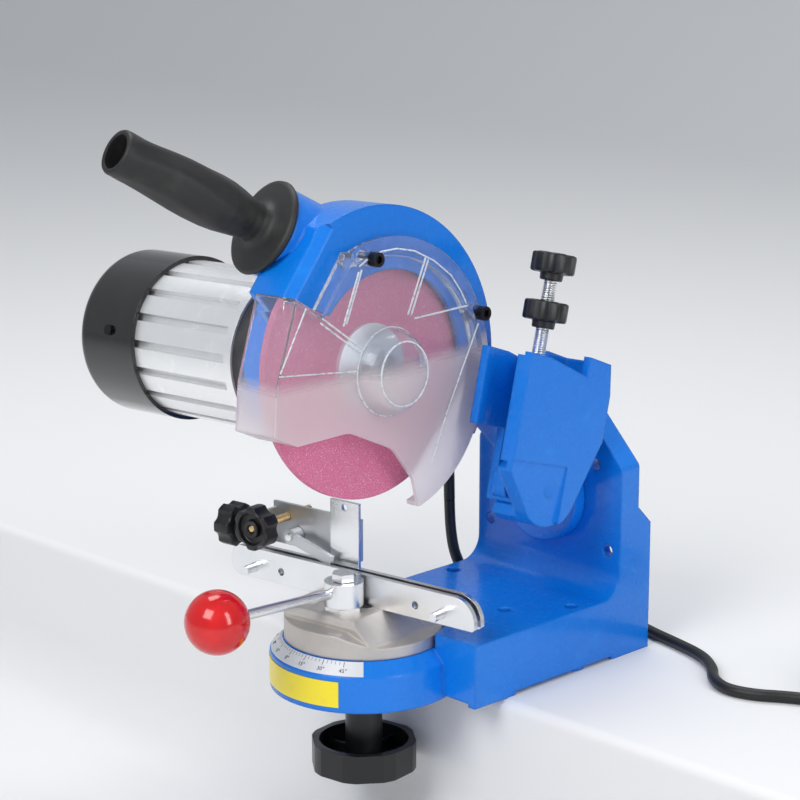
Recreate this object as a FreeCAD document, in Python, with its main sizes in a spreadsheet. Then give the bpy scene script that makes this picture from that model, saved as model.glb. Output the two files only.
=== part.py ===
import FreeCAD, Part
import Sketcher
import math
import os
import re

# Electric saw-chain sharpener: a cast base bolted at a bench's edge, a turntable vise with two
# chain rails, and a tilting, swinging head that carries the motor and a thin grinding wheel.
# Every size is a named cell of the sheet. Millimetres and degrees, +Z up.

doc = FreeCAD.newDocument("chain_sharpener")
sheet = doc.addObject("Spreadsheet::Sheet", "Sizes")
aliases = []


def size(name, value):
    """Put one driving dimension in the sheet under its own name."""
    aliases.append(name)
    cell = "B%d" % len(aliases)
    sheet.set("A%d" % len(aliases), name)
    sheet.set(cell, str(value))
    sheet.setAlias(cell, name)


# --- fits and common stock ---
size("seat_gap", 0.3)             # between two pieces that rest on each other but move apart
size("running_gap", 0.06)         # radial play of a shaft in its bore
size("cast_wall", 5.0)
size("plate_overlap", 1.0)        # how far a cutting tool runs past the face it cuts

# --- where things stand, from the centre of the bench bolts ---
size("turn_x", -20.0)             # the vise's swivel axis
size("turn_y", -98.0)
size("foot_height", 2.0)
size("vise_turn", 7.5)            # the vise stands a few degrees off square
size("tilt_x", 20.0)              # the head's tilting axis, from the swivel axis
size("tilt_z", 88.0)
size("head_tilt", 3.0)            # the motor end stands a little low
size("hinge_y", 76.0)             # the swing hinge, from the tilting axis
size("hinge_z", 18.4)
size("arm_lean", 16.5)            # the arm box leans back while the head is up
size("wheel_x", -15.2)            # the wheel's centre, from the tilting axis
size("wheel_y", 1.0)
size("wheel_z", 92.4)

# --- base casting ---
size("disc_radius", 52.0)
size("disc_height", 20.0)         # up to the dial's lower edge
size("dial_inner", 44.6)          # the dial slopes up from the disc's edge to this radius
size("dial_rise", 7.0)
size("disc_top_plate", 6.0)
size("boss_radius", 12.0)
size("boss_drop", 10.0)
size("base_left", -35.0)
size("base_right", 75.0)
size("table_front", 11.0)
size("table_top", 36.0)
size("table_plate", 6.0)
size("foot_length", 32.0)
size("foot_width", 14.0)
size("wall_front", 129.0)
size("wall_plate", 6.0)
size("wall_depth", 15.0)
size("wall_top", 140.0)
size("wall_corner_x", 28.0)       # how far the chamfer runs in along the top
size("wall_corner_z", 29.0)       # and how far it runs down the side
size("flank_depth", 26.0)
size("flank_top", 75.0)
size("flank_slope", 11.0)
size("inner_fillet", 14.0)
size("bench_bolt_radius", 4.0)
size("bench_bolt_spacing", 92.0)
size("front_bolt_x", 24.0)        # the third bench bolt, from the bench bolts' centre
size("front_bolt_y", -31.0)
size("wall_bolt_radius", 3.5)
size("wall_bolt_spacing", 91.0)
size("wall_bolt_z", 61.5)
size("upper_bolt_spacing", 70.0)
size("upper_bolt_z", 110.0)
size("scale_inner", 45.0)
size("scale_outer", 51.2)
size("scale_thickness", 0.4)
size("scale_start", -160.0)
size("scale_sweep", 116.0)
size("label_start", -137.0)
size("label_sweep", 78.0)
size("label_low", 3.0)
size("label_high", 17.5)

# --- turntable and its lock ---
size("turntable_radius", 44.0)
size("turntable_rim", 13.0)       # its tall side, which the wall drops from
size("turntable_flange", 6.4)     # the low side
size("drop_start", 14.0)
size("drop_end", 33.0)
size("drop_round", 9.0)
size("seat_slope", 15.0)          # how far the seat's right end runs out
size("seat_chamfer", 3.5)
size("vise_seat", 46.0)
size("seat_left", -33.0)
size("seat_right", 17.0)
size("seat_front", -29.0)
size("seat_back", 14.0)
size("stud_radius", 6.0)
size("stud_head_radius", 11.0)
size("stud_head_height", 6.0)
size("washer_radius", 10.0)
size("washer_thickness", 1.6)
size("knob_column_radius", 10.3)
size("knob_column_height", 22.0)
size("knob_radius", 29.5)
size("knob_wall", 4.5)
size("knob_height", 16.0)
size("knob_floor", 5.0)
size("knob_flutes", 8)
size("flute_depth", 1.0)

# --- rails ---
size("rail_thickness", 3.0)
size("rail_gap", 3.2)
size("rail_height", 17.5)
size("rail_left", -92.0)
size("rail_right", 79.0)
size("rail_end_radius", 7.0)
size("rail_nose_radius", 14.0)
size("rail_corner_radius", 2.0)
size("rail_hole_radius", 2.2)
size("rail_hole_left", -55.5)
size("rail_hole_right", 39.2)
size("rail_hole_height", 7.3)
size("guide_pin_radius", 2.6)
size("guide_pin_left", -75.6)
size("guide_pin_right", 57.0)
size("guide_pin_height", 6.0)
size("guide_pin_length", 8.0)

# --- rail clamp ---
size("clamp_x", 0.0)
size("clamp_y", -17.0)
size("clamp_bolt_radius", 4.0)
size("clamp_head_flats", 12.0)
size("clamp_head_height", 4.2)
size("clamp_nut_flats", 19.0)
size("clamp_nut_height", 3.0)
size("clamp_hub_radius", 10.8)
size("clamp_hub_height", 13.5)
size("lever_radius", 2.8)
size("lever_length", 84.0)
size("lever_heading", -103.5)
size("lever_height", 7.5)
size("ball_radius", 17.5)

# --- chain stop ---
size("post_left", -27.0)
size("post_width", 20.0)
size("post_thickness", 2.0)
size("post_top", 99.4)
size("post_screw_radius", 2.0)
size("post_screw_head", 3.6)
size("bracket_left", -70.0)
size("bracket_low", 66.0)
size("bracket_height", 24.0)
size("bracket_thickness", 2.0)
size("bracket_reach", 8.5)
size("stop_screw_radius", 2.5)
size("stop_screw_x", -60.0)
size("stop_screw_z", 82.3)
size("stop_screw_front", -24.3)
size("stop_screw_back", 26.0)
size("lock_screw_y", -6.0)
size("lock_screw_z", 76.0)
size("lock_screw_length", 23.0)
size("small_knob_radius", 12.5)
size("small_knob_height", 11.0)
size("small_knob_lobes", 6)
size("lobe_cut_radius", 4.5)
size("knob_hub_radius", 6.0)
size("knob_hub_height", 4.0)
size("pawl_pivot_x", -52.0)
size("pawl_pivot_z", 73.5)
size("pawl_pin_radius", 2.0)
size("pawl_length", 31.0)
size("pawl_height", 6.0)
size("pawl_thickness", 2.4)
size("pawl_droop", 16.0)

# --- tilting bracket and the swing hinge ---
size("tilt_disc_radius", 28.0)
size("tilt_disc_thickness", 9.0)
size("hinge_pin_radius", 5.0)
size("ear_radius", 14.0)
size("ear_width", 9.0)
size("spine_left", -6.0)
size("spine_height", 26.0)
size("spine_thickness", 12.0)
size("stop_lug_drop", 5.0)
size("stop_lug_height", 9.0)
size("stop_lug_width", 9.4)
size("swing_angle", 22.6)
size("spring_wire_radius", 1.1)
size("spring_length", 4.2)
size("spring_pitch", 2.4)
size("tilt_bolt_radius", 6.0)
size("tilt_bolt_length", 28.0)
size("tilt_knob_radius", 20.0)
size("tilt_knob_height", 15.0)

# --- arm box, from the hinge pin, along its own lean ---
size("arm_left", 14.0)
size("arm_right", 51.0)
size("arm_front", 34.5)
size("arm_back", 35.5)
size("arm_top", 72.0)
size("arm_notch_depth", 8.0)
size("arm_notch_front", 18.0)
size("arm_notch_back", 14.0)
size("arm_bottom_radius", 21.0)
size("arm_front_low", 7.0)
size("hinge_boss", 11.0)
size("arm_back_low", 30.0)
size("ridge_width", 7.0)
size("pocket_top", 13.2)          # a shallow flat at the foot of the arm's outer side
size("pocket_back", 9.6)
size("pocket_step", 0.8)
size("pocket_depth", 2.6)
size("screw_boss_radius", 8.5)
size("screw_boss_low", 40.0)

# --- depth stop ---
size("depth_screw_x", 33.5)
size("depth_screw_front", 10.0)
size("depth_screw_radius", 4.0)
size("depth_knob_low", 113.0)
size("depth_lock_low", 86.5)
size("depth_knob_radius", 12.3)
size("depth_knob_height", 11.0)

# --- fender, from the wheel's centre ---
size("fender_radius", 87.5)
size("fender_centre_y", 3.0)
size("fender_front", 9.0)
size("fender_back", -22.0)
size("fender_rim", 6.0)
size("fender_plate", 4.0)
size("window_radius", 56.0)
size("window_y", 9.0)
size("window_z", -4.0)
size("fender_left", -60.0)
size("fender_left_z", 47.0)
size("side_wall", 2.1)            # closes the fender's cut side, past the wheel's edge
size("side_bevel", 5.0)
size("side_lip", 1.4)             # backs the bevel, in front of the wheel
size("fender_shoulder_y", -37.0)
size("fender_shoulder_z", 74.0)
size("fender_foot_y", 60.0)
size("fender_foot_z", -50.0)
size("neck_radius", 45.5)
size("neck_bore", 39.0)
size("neck_left", -45.0)
size("web_front", 86.5)
size("web_top", -9.0)
size("web_low_right", -76.0)
size("shelf_top", -19.0)
size("shelf_depth", 20.0)
size("web_thickness", 6.0)
size("handle_boss_radius", 25.0)
size("handle_boss_length", 36.0)

# --- handle ---
size("grip_x", -30.0)
size("grip_y", -38.0)
size("grip_z", 77.0)
size("grip_yaw", -10.8)
size("grip_pitch", 60.3)
size("grip_length", 101.0)
size("collar_radius", 27.0)
size("collar_thickness", 4.0)
size("grip_neck_radius", 11.0)
size("grip_middle_radius", 14.5)
size("grip_end_radius", 12.5)
size("grip_bore_radius", 9.5)
size("grip_bore_depth", 30.0)
size("handle_stud_radius", 5.0)
size("handle_stud_length", 60.0)
size("handle_stud_grip", 45.0)

# --- motor ---
size("motor_radius", 45.0)
size("motor_bore", 38.0)
size("motor_front", -58.0)
size("motor_back", -146.0)
size("fin_groove_width", 4.5)
size("fin_groove_depth", 4.0)
size("fin_pitch", 20.0)
size("fin_count", 12)
size("fin_start", -15.0)
size("fin_ring", 6.0)
size("front_ring_radius", 43.5)
size("cap_radius", 47.5)
size("cap_wall", 2.2)
size("cap_lap", 6.0)
size("cap_back", -190.0)
size("cap_round", 7.0)
size("cap_screw_radius", 3.0)
size("cap_screw_angle", 168.0)
size("cap_screw_x", -160.0)
size("stator_bore", 24.2)
size("stator_front", -75.0)
size("stator_back", -131.0)
size("winding_outer", 35.0)
size("winding_inner", 26.0)
size("winding_length", 9.0)
size("rotor_radius", 23.8)
size("spindle_radius", 6.0)
size("spindle_front", 16.0)
size("spindle_back", -176.0)
size("bearing_radius", 14.0)
size("bearing_width", 8.0)
size("bearing_boss", 18.0)
size("front_bearing_x", -36.0)
size("rear_bracket_plate", 4.0)
size("fan_hub_radius", 12.0)
size("fan_radius", 38.0)
size("fan_back", -172.0)
size("fan_width", 14.0)
size("fan_blades", 7)
size("fan_blade_thickness", 1.8)

# --- wheel and its flanges ---
size("wheel_radius", 72.5)
size("wheel_thickness", 4.7)
size("wheel_bore", 11.15)
size("flange_radius", 24.0)
size("flange_thickness", 5.5)
size("inner_flange_thickness", 6.0)
size("nut_flats", 19.0)
size("nut_height", 6.0)

# --- clear guard, from the wheel's centre ---
size("guard_front", 18.5)
size("guard_wall", 2.5)
size("guard_back", -12.0)
size("dome_radius", 72.4)
size("dome_y", 1.7)
size("dome_z", -9.3)
size("rim_radius", 76.8)
size("rim_y", 8.0)
size("rim_z", -6.7)
size("guard_step", 6.0)
size("guard_left_top_y", -64.0)
size("guard_left_top_z", 48.0)
size("guard_left_mid_y", -79.5)
size("guard_left_mid_z", 4.0)
size("guard_left_low_y", -83.0)
size("guard_left_low_z", -22.0)
size("guard_notch_y", -46.0)
size("guard_notch_z", 36.5)
size("guard_chord_y", -22.0)
size("guard_chord_z", 66.0)
size("guard_sill_left_y", -67.0)
size("guard_sill_left_z", -29.5)
size("guard_sill_mid_y", -30.0)
size("guard_sill_mid_z", -29.0)
size("guard_sill_right_y", 2.0)
size("guard_sill_right_z", -44.0)
size("guard_toe_y", 16.0)
size("guard_toe_z", -63.0)
size("guard_heel_y", 34.0)
size("guard_heel_z", -72.0)
size("guard_screw_radius", 2.0)
size("guard_screw_head", 4.0)
size("guard_screw_head_length", 5.0)
size("guard_spacer_radius", 4.2)
size("upper_screw_y", -8.0)
size("upper_screw_z", 61.0)
size("side_screw_y", 72.0)
size("side_screw_z", 20.0)

# --- switch, cord and plug ---
size("switch_x", 32.5)
size("switch_w", 43.0)
size("switch_width", 22.0)
size("switch_height", 24.0)
size("switch_depth", 14.0)
size("switch_bezel", 2.0)
size("rocker_width", 13.0)
size("rocker_length", 16.0)
size("rocker_radius", 11.5)
size("rocker_stud_radius", 1.2)
size("rocker_stud_length", 1.5)
size("cord_radius", 3.3)
size("gland_radius", 6.5)
size("gland_length", 12.0)
size("coil_x", 205.0)
size("coil_y", 88.4)
size("coil_turn_radius", 35.0)
size("coil_turns_wide", 2.0)
size("coil_turns_high", 3.0)
size("plug_width", 26.0)
size("plug_length", 32.0)
size("plug_thickness", 15.0)
size("plug_relief_length", 24.0)
size("plug_relief_radius", 5.5)
size("plug_pin_radius", 2.4)
size("plug_pin_length", 19.0)
size("plug_pin_spacing", 19.0)

doc.recompute()

reader = doc.addObject("Spreadsheet::Sheet", "Reader")


def bind(text):
    """Turn named sizes in an expression into references to the sheet."""
    words = lambda found: "Sizes." + found.group(0) if found.group(0) in aliases else found.group(0)
    return re.sub(r"[a-z][a-z_0-9]*", words, str(text))


def value(text):
    """The present number of an expression of named sizes."""
    reader.set("A1", "=" + bind(text))
    reader.recompute()
    return float(reader.get("A1"))


WORLD = "placement(vector(0; 0; 0); rotation(vector(0;0;1); 0))"
PLUG = "placement(vector(203; 143; plug_thickness / 2); rotation(vector(0;0;1); -7))"
# Each frame is a chain of placements, so that a piece is drawn where it sits on its carrier.
BENCH = "placement(vector(turn_x; turn_y; 0); rotation(vector(0;0;1); 0))"
VISE = BENCH + " * placement(vector(0; 0; 0); rotation(vector(0;0;1); vise_turn))"
LEVER = VISE + " * placement(vector(clamp_x; clamp_y; 0); rotation(vector(0;0;1); lever_heading))"
TILT = BENCH + " * placement(vector(tilt_x; 0; tilt_z); rotation(vector(0;1;0); -head_tilt))"
HINGE = TILT + " * placement(vector(0; hinge_y; hinge_z); rotation(vector(1;0;0); 0))"
ARM = TILT + " * placement(vector(0; hinge_y; hinge_z); rotation(vector(1;0;0); -arm_lean))"
HEAD = TILT + " * placement(vector(wheel_x; wheel_y; wheel_z); rotation(vector(1;0;0); 0))"
FLANK = (HEAD + " * placement(vector(0; fender_left; fender_left_z); rotation(vector(1;0;0);"
         + " atan2(fender_shoulder_z - fender_left_z; fender_shoulder_y - fender_left)))")
GRIP = (HEAD + " * placement(vector(grip_x; grip_y; grip_z); rotation(vector(0;0;1); grip_yaw))"
        + " * placement(vector(0; 0; 0); rotation(vector(1;0;0); grip_pitch))")

ALONG = {
    "z": "rotation(vector(0;0;1); 0)",
    "-z": "rotation(vector(1;0;0); 180)",
    "x": "rotation(vector(0;1;0); 90)",
    "-x": "rotation(vector(0;1;0); -90)",
    "y": "rotation(vector(1;0;0); -90)",
    "-y": "rotation(vector(1;0;0); 90)",
}
# A flat outline lies across one axis: its own x and y then run along the other two.
ACROSS = {
    "x": "rotation(vector(1;1;1); 120)",
    "y": "rotation(vector(1;0;0); 90)",
    "z": "rotation(vector(0;0;1); 0)",
}
made = [0]


def add(kind):
    made[0] += 1
    return doc.addObject(kind, "shape_%03d" % made[0])


def put(thing, frame, at, turn, angle=None):
    """Set a shape in its frame: a start point, a direction, and a turn about that direction."""
    steps = "%s * placement(vector(%s; %s; %s); %s)" % ((frame,) + tuple(at) + (turn,))
    if angle is not None:
        steps += " * placement(vector(0; 0; 0); rotation(vector(0;0;1); %s))" % angle
    thing.setExpression("Placement", bind(steps))
    return thing


def rod(frame, at, radius, length, along="z", sweep=None, angle=None):
    thing = add("Part::Cylinder")
    thing.setExpression("Radius", bind(radius))
    thing.setExpression("Height", bind(length))
    if sweep is not None:
        thing.setExpression("Angle", bind(sweep))
    return put(thing, frame, at, ALONG[along], angle)


def block(frame, at, lengths, turn=None):
    thing = add("Part::Box")
    for side, length in zip(("Length", "Width", "Height"), lengths):
        thing.setExpression(side, bind(length))
    return put(thing, frame, at, turn or ALONG["z"])


def ball(frame, at, radius):
    thing = add("Part::Sphere")
    thing.setExpression("Radius", bind(radius))
    return put(thing, frame, at, ALONG["z"])


def prism(frame, at, flats, height, along="z"):
    """A hexagonal bar, given across its flats."""
    thing = add("Part::Prism")
    thing.Polygon = 6
    thing.setExpression("Circumradius", bind("(%s) / sqrt(3)" % flats))
    thing.setExpression("Height", bind(height))
    return put(thing, frame, at, ALONG[along])


def join(*things):
    thing = add("Part::MultiFuse")
    thing.Shapes = list(things)
    thing.Refine = True
    return thing


def cut(thing, *tools):
    for tool in tools:
        result = add("Part::Cut")
        result.Base = thing
        result.Tool = tool
        thing = result
    return thing


def meet(first, second):
    thing = add("Part::Common")
    thing.Base = first
    thing.Tool = second
    return thing


def group(*things):
    """Separate solids that share one node."""
    thing = add("Part::Compound")
    thing.Links = list(things)
    return thing


def outline(frame, at, across, points):
    """A closed sketch whose corners are named sizes; a third value rounds a corner."""
    sketch = add("Sketcher::SketchObject")
    corners = [FreeCAD.Vector(value(point[0]), value(point[1]), 0) for point in points]
    count = len(corners)
    for index in range(count):
        sketch.addGeometry(Part.LineSegment(corners[index], corners[(index + 1) % count]))
    for index in range(count):
        sketch.addConstraint(Sketcher.Constraint("Coincident", index, 2, (index + 1) % count, 1))
    for index, point in enumerate(points):
        for kind, text in (("DistanceX", point[0]), ("DistanceY", point[1])):
            rule = sketch.addConstraint(Sketcher.Constraint(kind, -1, 1, index, 1, value(text)))
            sketch.setExpression("Constraints[%d]" % rule, bind(text))
    for index, point in enumerate(points):
        if len(point) < 3:
            continue
        before = (index - 1) % count
        near = [(corners[index] * 3 + corners[side]) * 0.25 for side in (before, (index + 1) % count)]
        sketch.fillet(before, index, near[0], near[1], value(point[2]), True, True)
        arc = max(g for g in range(sketch.GeometryCount)
                  if isinstance(sketch.Geometry[g], Part.ArcOfCircle))
        rule = sketch.addConstraint(Sketcher.Constraint("Radius", arc, value(point[2])))
        sketch.setExpression("Constraints[%d]" % rule, bind(point[2]))
    return put(sketch, frame, at, ACROSS[across])


def slab(sketch, depth):
    """An outline given a thickness along the axis that it lies across."""
    thing = add("Part::Extrusion")
    thing.Base = sketch
    thing.DirMode = "Normal"
    thing.Solid = True
    thing.setExpression("LengthFwd", bind(depth))
    return thing


def turned(frame, at, along, points):
    """A solid of revolution: points are (radius, height) about the direction `along`."""
    sketch = outline(frame, at, "z", points)
    turn = ALONG[along] + " * rotation(vector(1;0;0); 90)"
    steps = "%s * placement(vector(%s; %s; %s); %s)" % ((frame,) + tuple(at) + (turn,))
    sketch.setExpression("Placement", bind(steps))
    doc.recompute()
    thing = add("Part::Revolution")
    thing.Source = sketch
    thing.AxisLink = (sketch, ["V_Axis"])
    thing.Angle = 360.0
    thing.Solid = True
    return thing


nodes = []


def node(name, thing):
    """Give a finished sub-part its own name."""
    thing.Label = name
    nodes.append(thing)
    return thing


def lobed_knob(frame, at, along, radius, height, lobes, hub_height, bore, recess=None):
    """A star knob: a short drum with round cuts at its edge, a hub and a bore."""
    drum = rod(frame, at, radius, height, along)
    cutters = []
    for index in range(int(value(lobes))):
        turn = "(%d) * 360 / (%s)" % (index, lobes)
        cutter = add("Part::Cylinder")
        cutter.setExpression("Radius", bind("lobe_cut_radius"))
        cutter.setExpression("Height", bind("(%s) + 2 * plate_overlap" % height))
        steps = "%s * placement(vector(%s; %s; %s); %s)" % ((frame,) + tuple(at) + (ALONG[along],))
        steps += " * placement(vector(0; 0; -plate_overlap); rotation(vector(0;0;1); %s))" % turn
        steps += " * placement(vector((%s) + lobe_cut_radius * 0.62; 0; 0);" % radius
        steps += " rotation(vector(0;0;1); 0))"
        cutter.setExpression("Placement", bind(steps))
        cutters.append(cutter)
    star = cut(drum, join(*cutters))
    solid = join(star, rod(frame, at, "knob_hub_radius", "(%s) + (%s)" % (height, hub_height), along))
    solid = cut(solid, rod(frame, at, bore, "(%s) + (%s) + plate_overlap" % (height, hub_height), along))
    if recess:
        solid = cut(solid, rod(frame, at, recess, "knob_floor", along))
    return solid


# ---------------------------------------------------------------- base casting
def make_base():
    width = "base_right - base_left"
    dial_top = "disc_height + dial_rise"
    disc = turned(BENCH, (0, 0, 0), "z", [
        ("0", "0"), ("disc_radius", "0"), ("disc_radius", "disc_height"), ("dial_inner", dial_top),
        ("0", dial_top)])
    disc_pocket = rod(BENCH, (0, 0, "-plate_overlap"), "disc_radius - cast_wall",
                      dial_top + " - disc_top_plate + plate_overlap")
    boss = rod(BENCH, (0, 0, "-boss_drop"), "boss_radius", "boss_drop + " + dial_top)
    table_length = "wall_front - table_front + wall_plate"
    table = block(BENCH, ("base_left", "table_front", "foot_height"),
                  (width, table_length, "table_top - foot_height"))
    table_pocket = block(BENCH, ("base_left + cast_wall", "table_front + cast_wall", "-plate_overlap"),
                         (width + " - 2 * cast_wall", table_length + " - 2 * cast_wall",
                          "table_top - table_plate + plate_overlap"))
    turntable_room = rod(BENCH, (0, 0, dial_top), "turntable_radius + 2",
                         "table_top - (%s) + plate_overlap" % dial_top)
    corner = ("base_right - wall_corner_x", "base_left + wall_corner_x")
    wall_points = [("base_left", "foot_height"), ("base_right", "foot_height"),
                   ("base_right", "wall_top - wall_corner_z"),
                   (corner[0], "wall_top"), (corner[1], "wall_top"),
                   ("base_left", "wall_top - wall_corner_z")]
    wall_points = [p + ("cast_wall",) if index > 1 else p for index, p in enumerate(wall_points)]
    wall = slab(outline(BENCH, (0, "wall_front + wall_depth", 0), "y", wall_points), "wall_depth")
    inset = "cast_wall"
    pocket_points = [("base_left + " + inset, "table_top"), ("base_right - " + inset, "table_top"),
                     ("base_right - " + inset, "wall_top - wall_corner_z - cast_wall * 0.4"),
                     (corner[0] + " - cast_wall * 0.4", "wall_top - " + inset),
                     (corner[1] + " + cast_wall * 0.4", "wall_top - " + inset),
                     ("base_left + " + inset, "wall_top - wall_corner_z - cast_wall * 0.4")]
    wall_pocket = slab(outline(BENCH, (0, "wall_front + wall_depth + plate_overlap", 0), "y",
                               pocket_points), "wall_depth - wall_plate + plate_overlap")
    low_pocket = block(BENCH, ("base_left + cast_wall", "wall_front + wall_plate", "-plate_overlap"),
                       (width + " - 2 * cast_wall", "wall_depth + plate_overlap",
                        "table_top + 2 * plate_overlap"))
    flanks = []
    for side in ("base_left", "base_right - cast_wall"):
        points = [("wall_front", 0), ("wall_front + flank_depth", 0),
                  ("wall_front + flank_depth", "flank_top"),
                  ("wall_front + wall_depth", "flank_top + flank_slope"),
                  ("wall_front", "flank_top + flank_slope")]
        flanks.append(slab(outline(BENCH, (side, 0, 0), "x", points), "cast_wall"))
    fillet_bar = block(BENCH, ("base_left", "wall_front - inner_fillet", "table_top"),
                       (width, "inner_fillet", "inner_fillet"))
    fillet_round = rod(BENCH, ("base_left - plate_overlap", "wall_front - inner_fillet",
                               "table_top + inner_fillet"), "inner_fillet",
                       width + " + 2 * plate_overlap", "x")
    feet = []
    foot_rows = ("table_front", "wall_front + flank_depth - foot_length")
    for foot_y in foot_rows:
        for foot_x, foot_wide in (("base_left", "cast_wall"), ("base_right - cast_wall", "cast_wall")):
            feet.append(block(BENCH, (foot_x, foot_y, 0), (foot_wide, "foot_length", "table_top / 2")))
    shell = join(cut(disc, disc_pocket), boss, cut(table, table_pocket), cut(wall, wall_pocket, low_pocket),
                 cut(fillet_bar, fillet_round), *(flanks + feet))
    bosses = []
    holes = [rod(BENCH, (0, 0, "-boss_drop - plate_overlap"), "stud_radius + running_gap * 4",
                 "boss_drop + %s + 2 * plate_overlap" % dial_top)]
    mid = "(-turn_x)"
    for hole_x, hole_y in ((mid + " - bench_bolt_spacing / 2", "-turn_y"),
                           (mid + " + bench_bolt_spacing / 2", "-turn_y"),
                           (mid + " + front_bolt_x", "-turn_y + front_bolt_y")):
        low = "table_top - table_plate"
        bosses.append(rod(BENCH, (hole_x, hole_y, 0), "bench_bolt_radius + cast_wall * 0.8",
                          low + " + plate_overlap"))
        holes.append(rod(BENCH, (hole_x, hole_y, "-plate_overlap"), "bench_bolt_radius",
                         "table_top + 2 * plate_overlap"))
    for spacing, height in (("wall_bolt_spacing", "wall_bolt_z"), ("upper_bolt_spacing", "upper_bolt_z")):
        for side in ("- ", "+ "):
            hole_x = mid + side + spacing + " / 2"
            holes.append(rod(BENCH, (hole_x, "wall_front - plate_overlap", height), "wall_bolt_radius",
                             "wall_depth + 2 * plate_overlap", "y"))
    holes.append(rod(BENCH, ("tilt_x", "wall_front - plate_overlap", "tilt_z"),
                     "tilt_bolt_radius + running_gap", "wall_plate + 2 * plate_overlap", "y"))
    casting = cut(join(cut(shell, turntable_room), *bosses), join(*holes))
    node("base_casting", casting)

    slope = "disc_height + dial_rise * (disc_radius - %s) / (disc_radius - dial_inner)"
    ring = turned(BENCH, (0, 0, 0), "z", [
        (edge, slope % edge + lift) for edge, lift in (
            ("scale_inner", ""), ("scale_outer", ""), ("scale_outer", " + scale_thickness"),
            ("scale_inner", " + scale_thickness"))])
    node("angle_scale", meet(ring, rod(BENCH, (0, 0, 0), "disc_radius", "table_top", "z",
                                       "scale_sweep", "scale_start")))
    band = rod(BENCH, (0, 0, "label_low"), "disc_radius + scale_thickness", "label_high - label_low", "z",
               "label_sweep", "label_start")
    node("front_label", cut(band, rod(BENCH, (0, 0, 0), "disc_radius", "disc_height")))


# ---------------------------------------------------------------- turntable and lock knob
def make_turntable():
    low = "disc_height + dial_rise + seat_gap"
    wall_top = low + " + turntable_rim"
    flange_top = low + " + turntable_flange"
    past = "turntable_radius + plate_overlap"
    side = slab(outline(VISE, (0, past, 0), "y", [
        ("-(%s)" % past, low), (past, low), (past, flange_top),
        ("drop_end", flange_top, "drop_round"), ("drop_start", wall_top, "drop_round"),
        ("-(%s)" % past, wall_top)]), "2 * (%s)" % past)
    seat = slab(outline(VISE, (0, "seat_back", 0), "y", [
        ("seat_left - seat_chamfer", low), ("seat_right + seat_slope", low),
        ("seat_right + seat_slope", flange_top), ("seat_right", "vise_seat"),
        ("seat_left", "vise_seat"), ("seat_left - seat_chamfer", "vise_seat - seat_chamfer")]),
        "seat_back - seat_front + seat_chamfer")
    front = slab(outline(VISE, ("-(%s)" % past, 0, 0), "x", [
        ("seat_front - seat_chamfer", low), ("seat_back", low), ("seat_back", "vise_seat"),
        ("seat_front", "vise_seat"), ("seat_front - seat_chamfer", "vise_seat - seat_chamfer")]),
        "2 * (%s)" % past)
    body = meet(join(side, meet(seat, front)), rod(VISE, (0, 0, low), "turntable_radius", "vise_seat"))
    stud_hole = rod(VISE, (0, 0, 0), "stud_radius + running_gap", "vise_seat + plate_overlap")
    head_pocket = rod(VISE, (0, 0, "vise_seat - stud_head_height - plate_overlap"),
                      "stud_head_radius + running_gap", "stud_head_height + 2 * plate_overlap")
    bolt_hole = rod(VISE, ("clamp_x", "clamp_y", low + " + cast_wall"),
                    "clamp_bolt_radius + running_gap", "vise_seat")
    node("vise_turntable", cut(body, stud_hole, head_pocket, bolt_hole))

    shank_low = "-boss_drop - washer_thickness - knob_column_height - knob_floor"
    stud = join(rod(VISE, (0, 0, shank_low), "stud_radius", "vise_seat - (%s) - plate_overlap" % shank_low),
                prism(VISE, (0, 0, "vise_seat - stud_head_height - plate_overlap"),
                      "stud_head_radius * 1.7", "stud_head_height"))
    node("swivel_stud", stud)
    washer_low = "-boss_drop - washer_thickness - seat_gap"
    node("swivel_washer", cut(rod(VISE, (0, 0, washer_low), "washer_radius", "washer_thickness"),
                              rod(VISE, (0, 0, washer_low), "stud_radius + running_gap",
                                  "washer_thickness")))
    column_top = "(%s) - seat_gap" % washer_low
    column_low = "(%s) - knob_column_height" % column_top
    cup_top = "(%s) + seat_gap" % column_low
    cup = cut(rod(VISE, (0, 0, "(%s) - knob_height" % cup_top), "knob_radius", "knob_height"),
              rod(VISE, (0, 0, "(%s) - knob_height + knob_floor" % cup_top), "knob_radius - knob_wall",
                  "knob_height"))
    cutters = []
    for index in range(int(value("knob_flutes"))):
        cutter = add("Part::Box")
        cutter.setExpression("Length", bind("knob_wall"))
        cutter.setExpression("Width", bind("knob_radius"))
        cutter.setExpression("Height", bind("knob_height + 2 * plate_overlap"))
        steps = VISE + " * placement(vector(0; 0; (%s) - knob_height - plate_overlap);" % cup_top
        steps += " rotation(vector(0;0;1); (%d) * 360 / knob_flutes))" % index
        steps += " * placement(vector(knob_radius - flute_depth; -knob_radius / 2; 0);"
        steps += " rotation(vector(0;0;1); 0))"
        cutter.setExpression("Placement", bind(steps))
        cutters.append(cutter)
    column = rod(VISE, (0, 0, "(%s) - knob_height" % cup_top), "knob_column_radius",
                 "knob_column_height + knob_height - seat_gap")
    ribs = [block(VISE, ("-knob_radius + knob_wall / 2", "-washer_thickness / 2",
                         "(%s) - knob_height" % cup_top),
                  ("2 * knob_radius - knob_wall", "washer_thickness", "knob_height * 0.6")),
            block(VISE, ("-washer_thickness / 2", "-knob_radius + knob_wall / 2",
                         "(%s) - knob_height" % cup_top),
                  ("washer_thickness", "2 * knob_radius - knob_wall", "knob_height * 0.6"))]
    knob = join(cut(cup, join(*cutters)), column, *ribs)
    bore_depth = "knob_column_height + knob_floor + plate_overlap"
    node("swivel_knob", cut(knob, rod(VISE, (0, 0, "(%s) - (%s)" % (column_top, bore_depth)),
                                      "stud_radius + running_gap", bore_depth + " + plate_overlap")))


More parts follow.
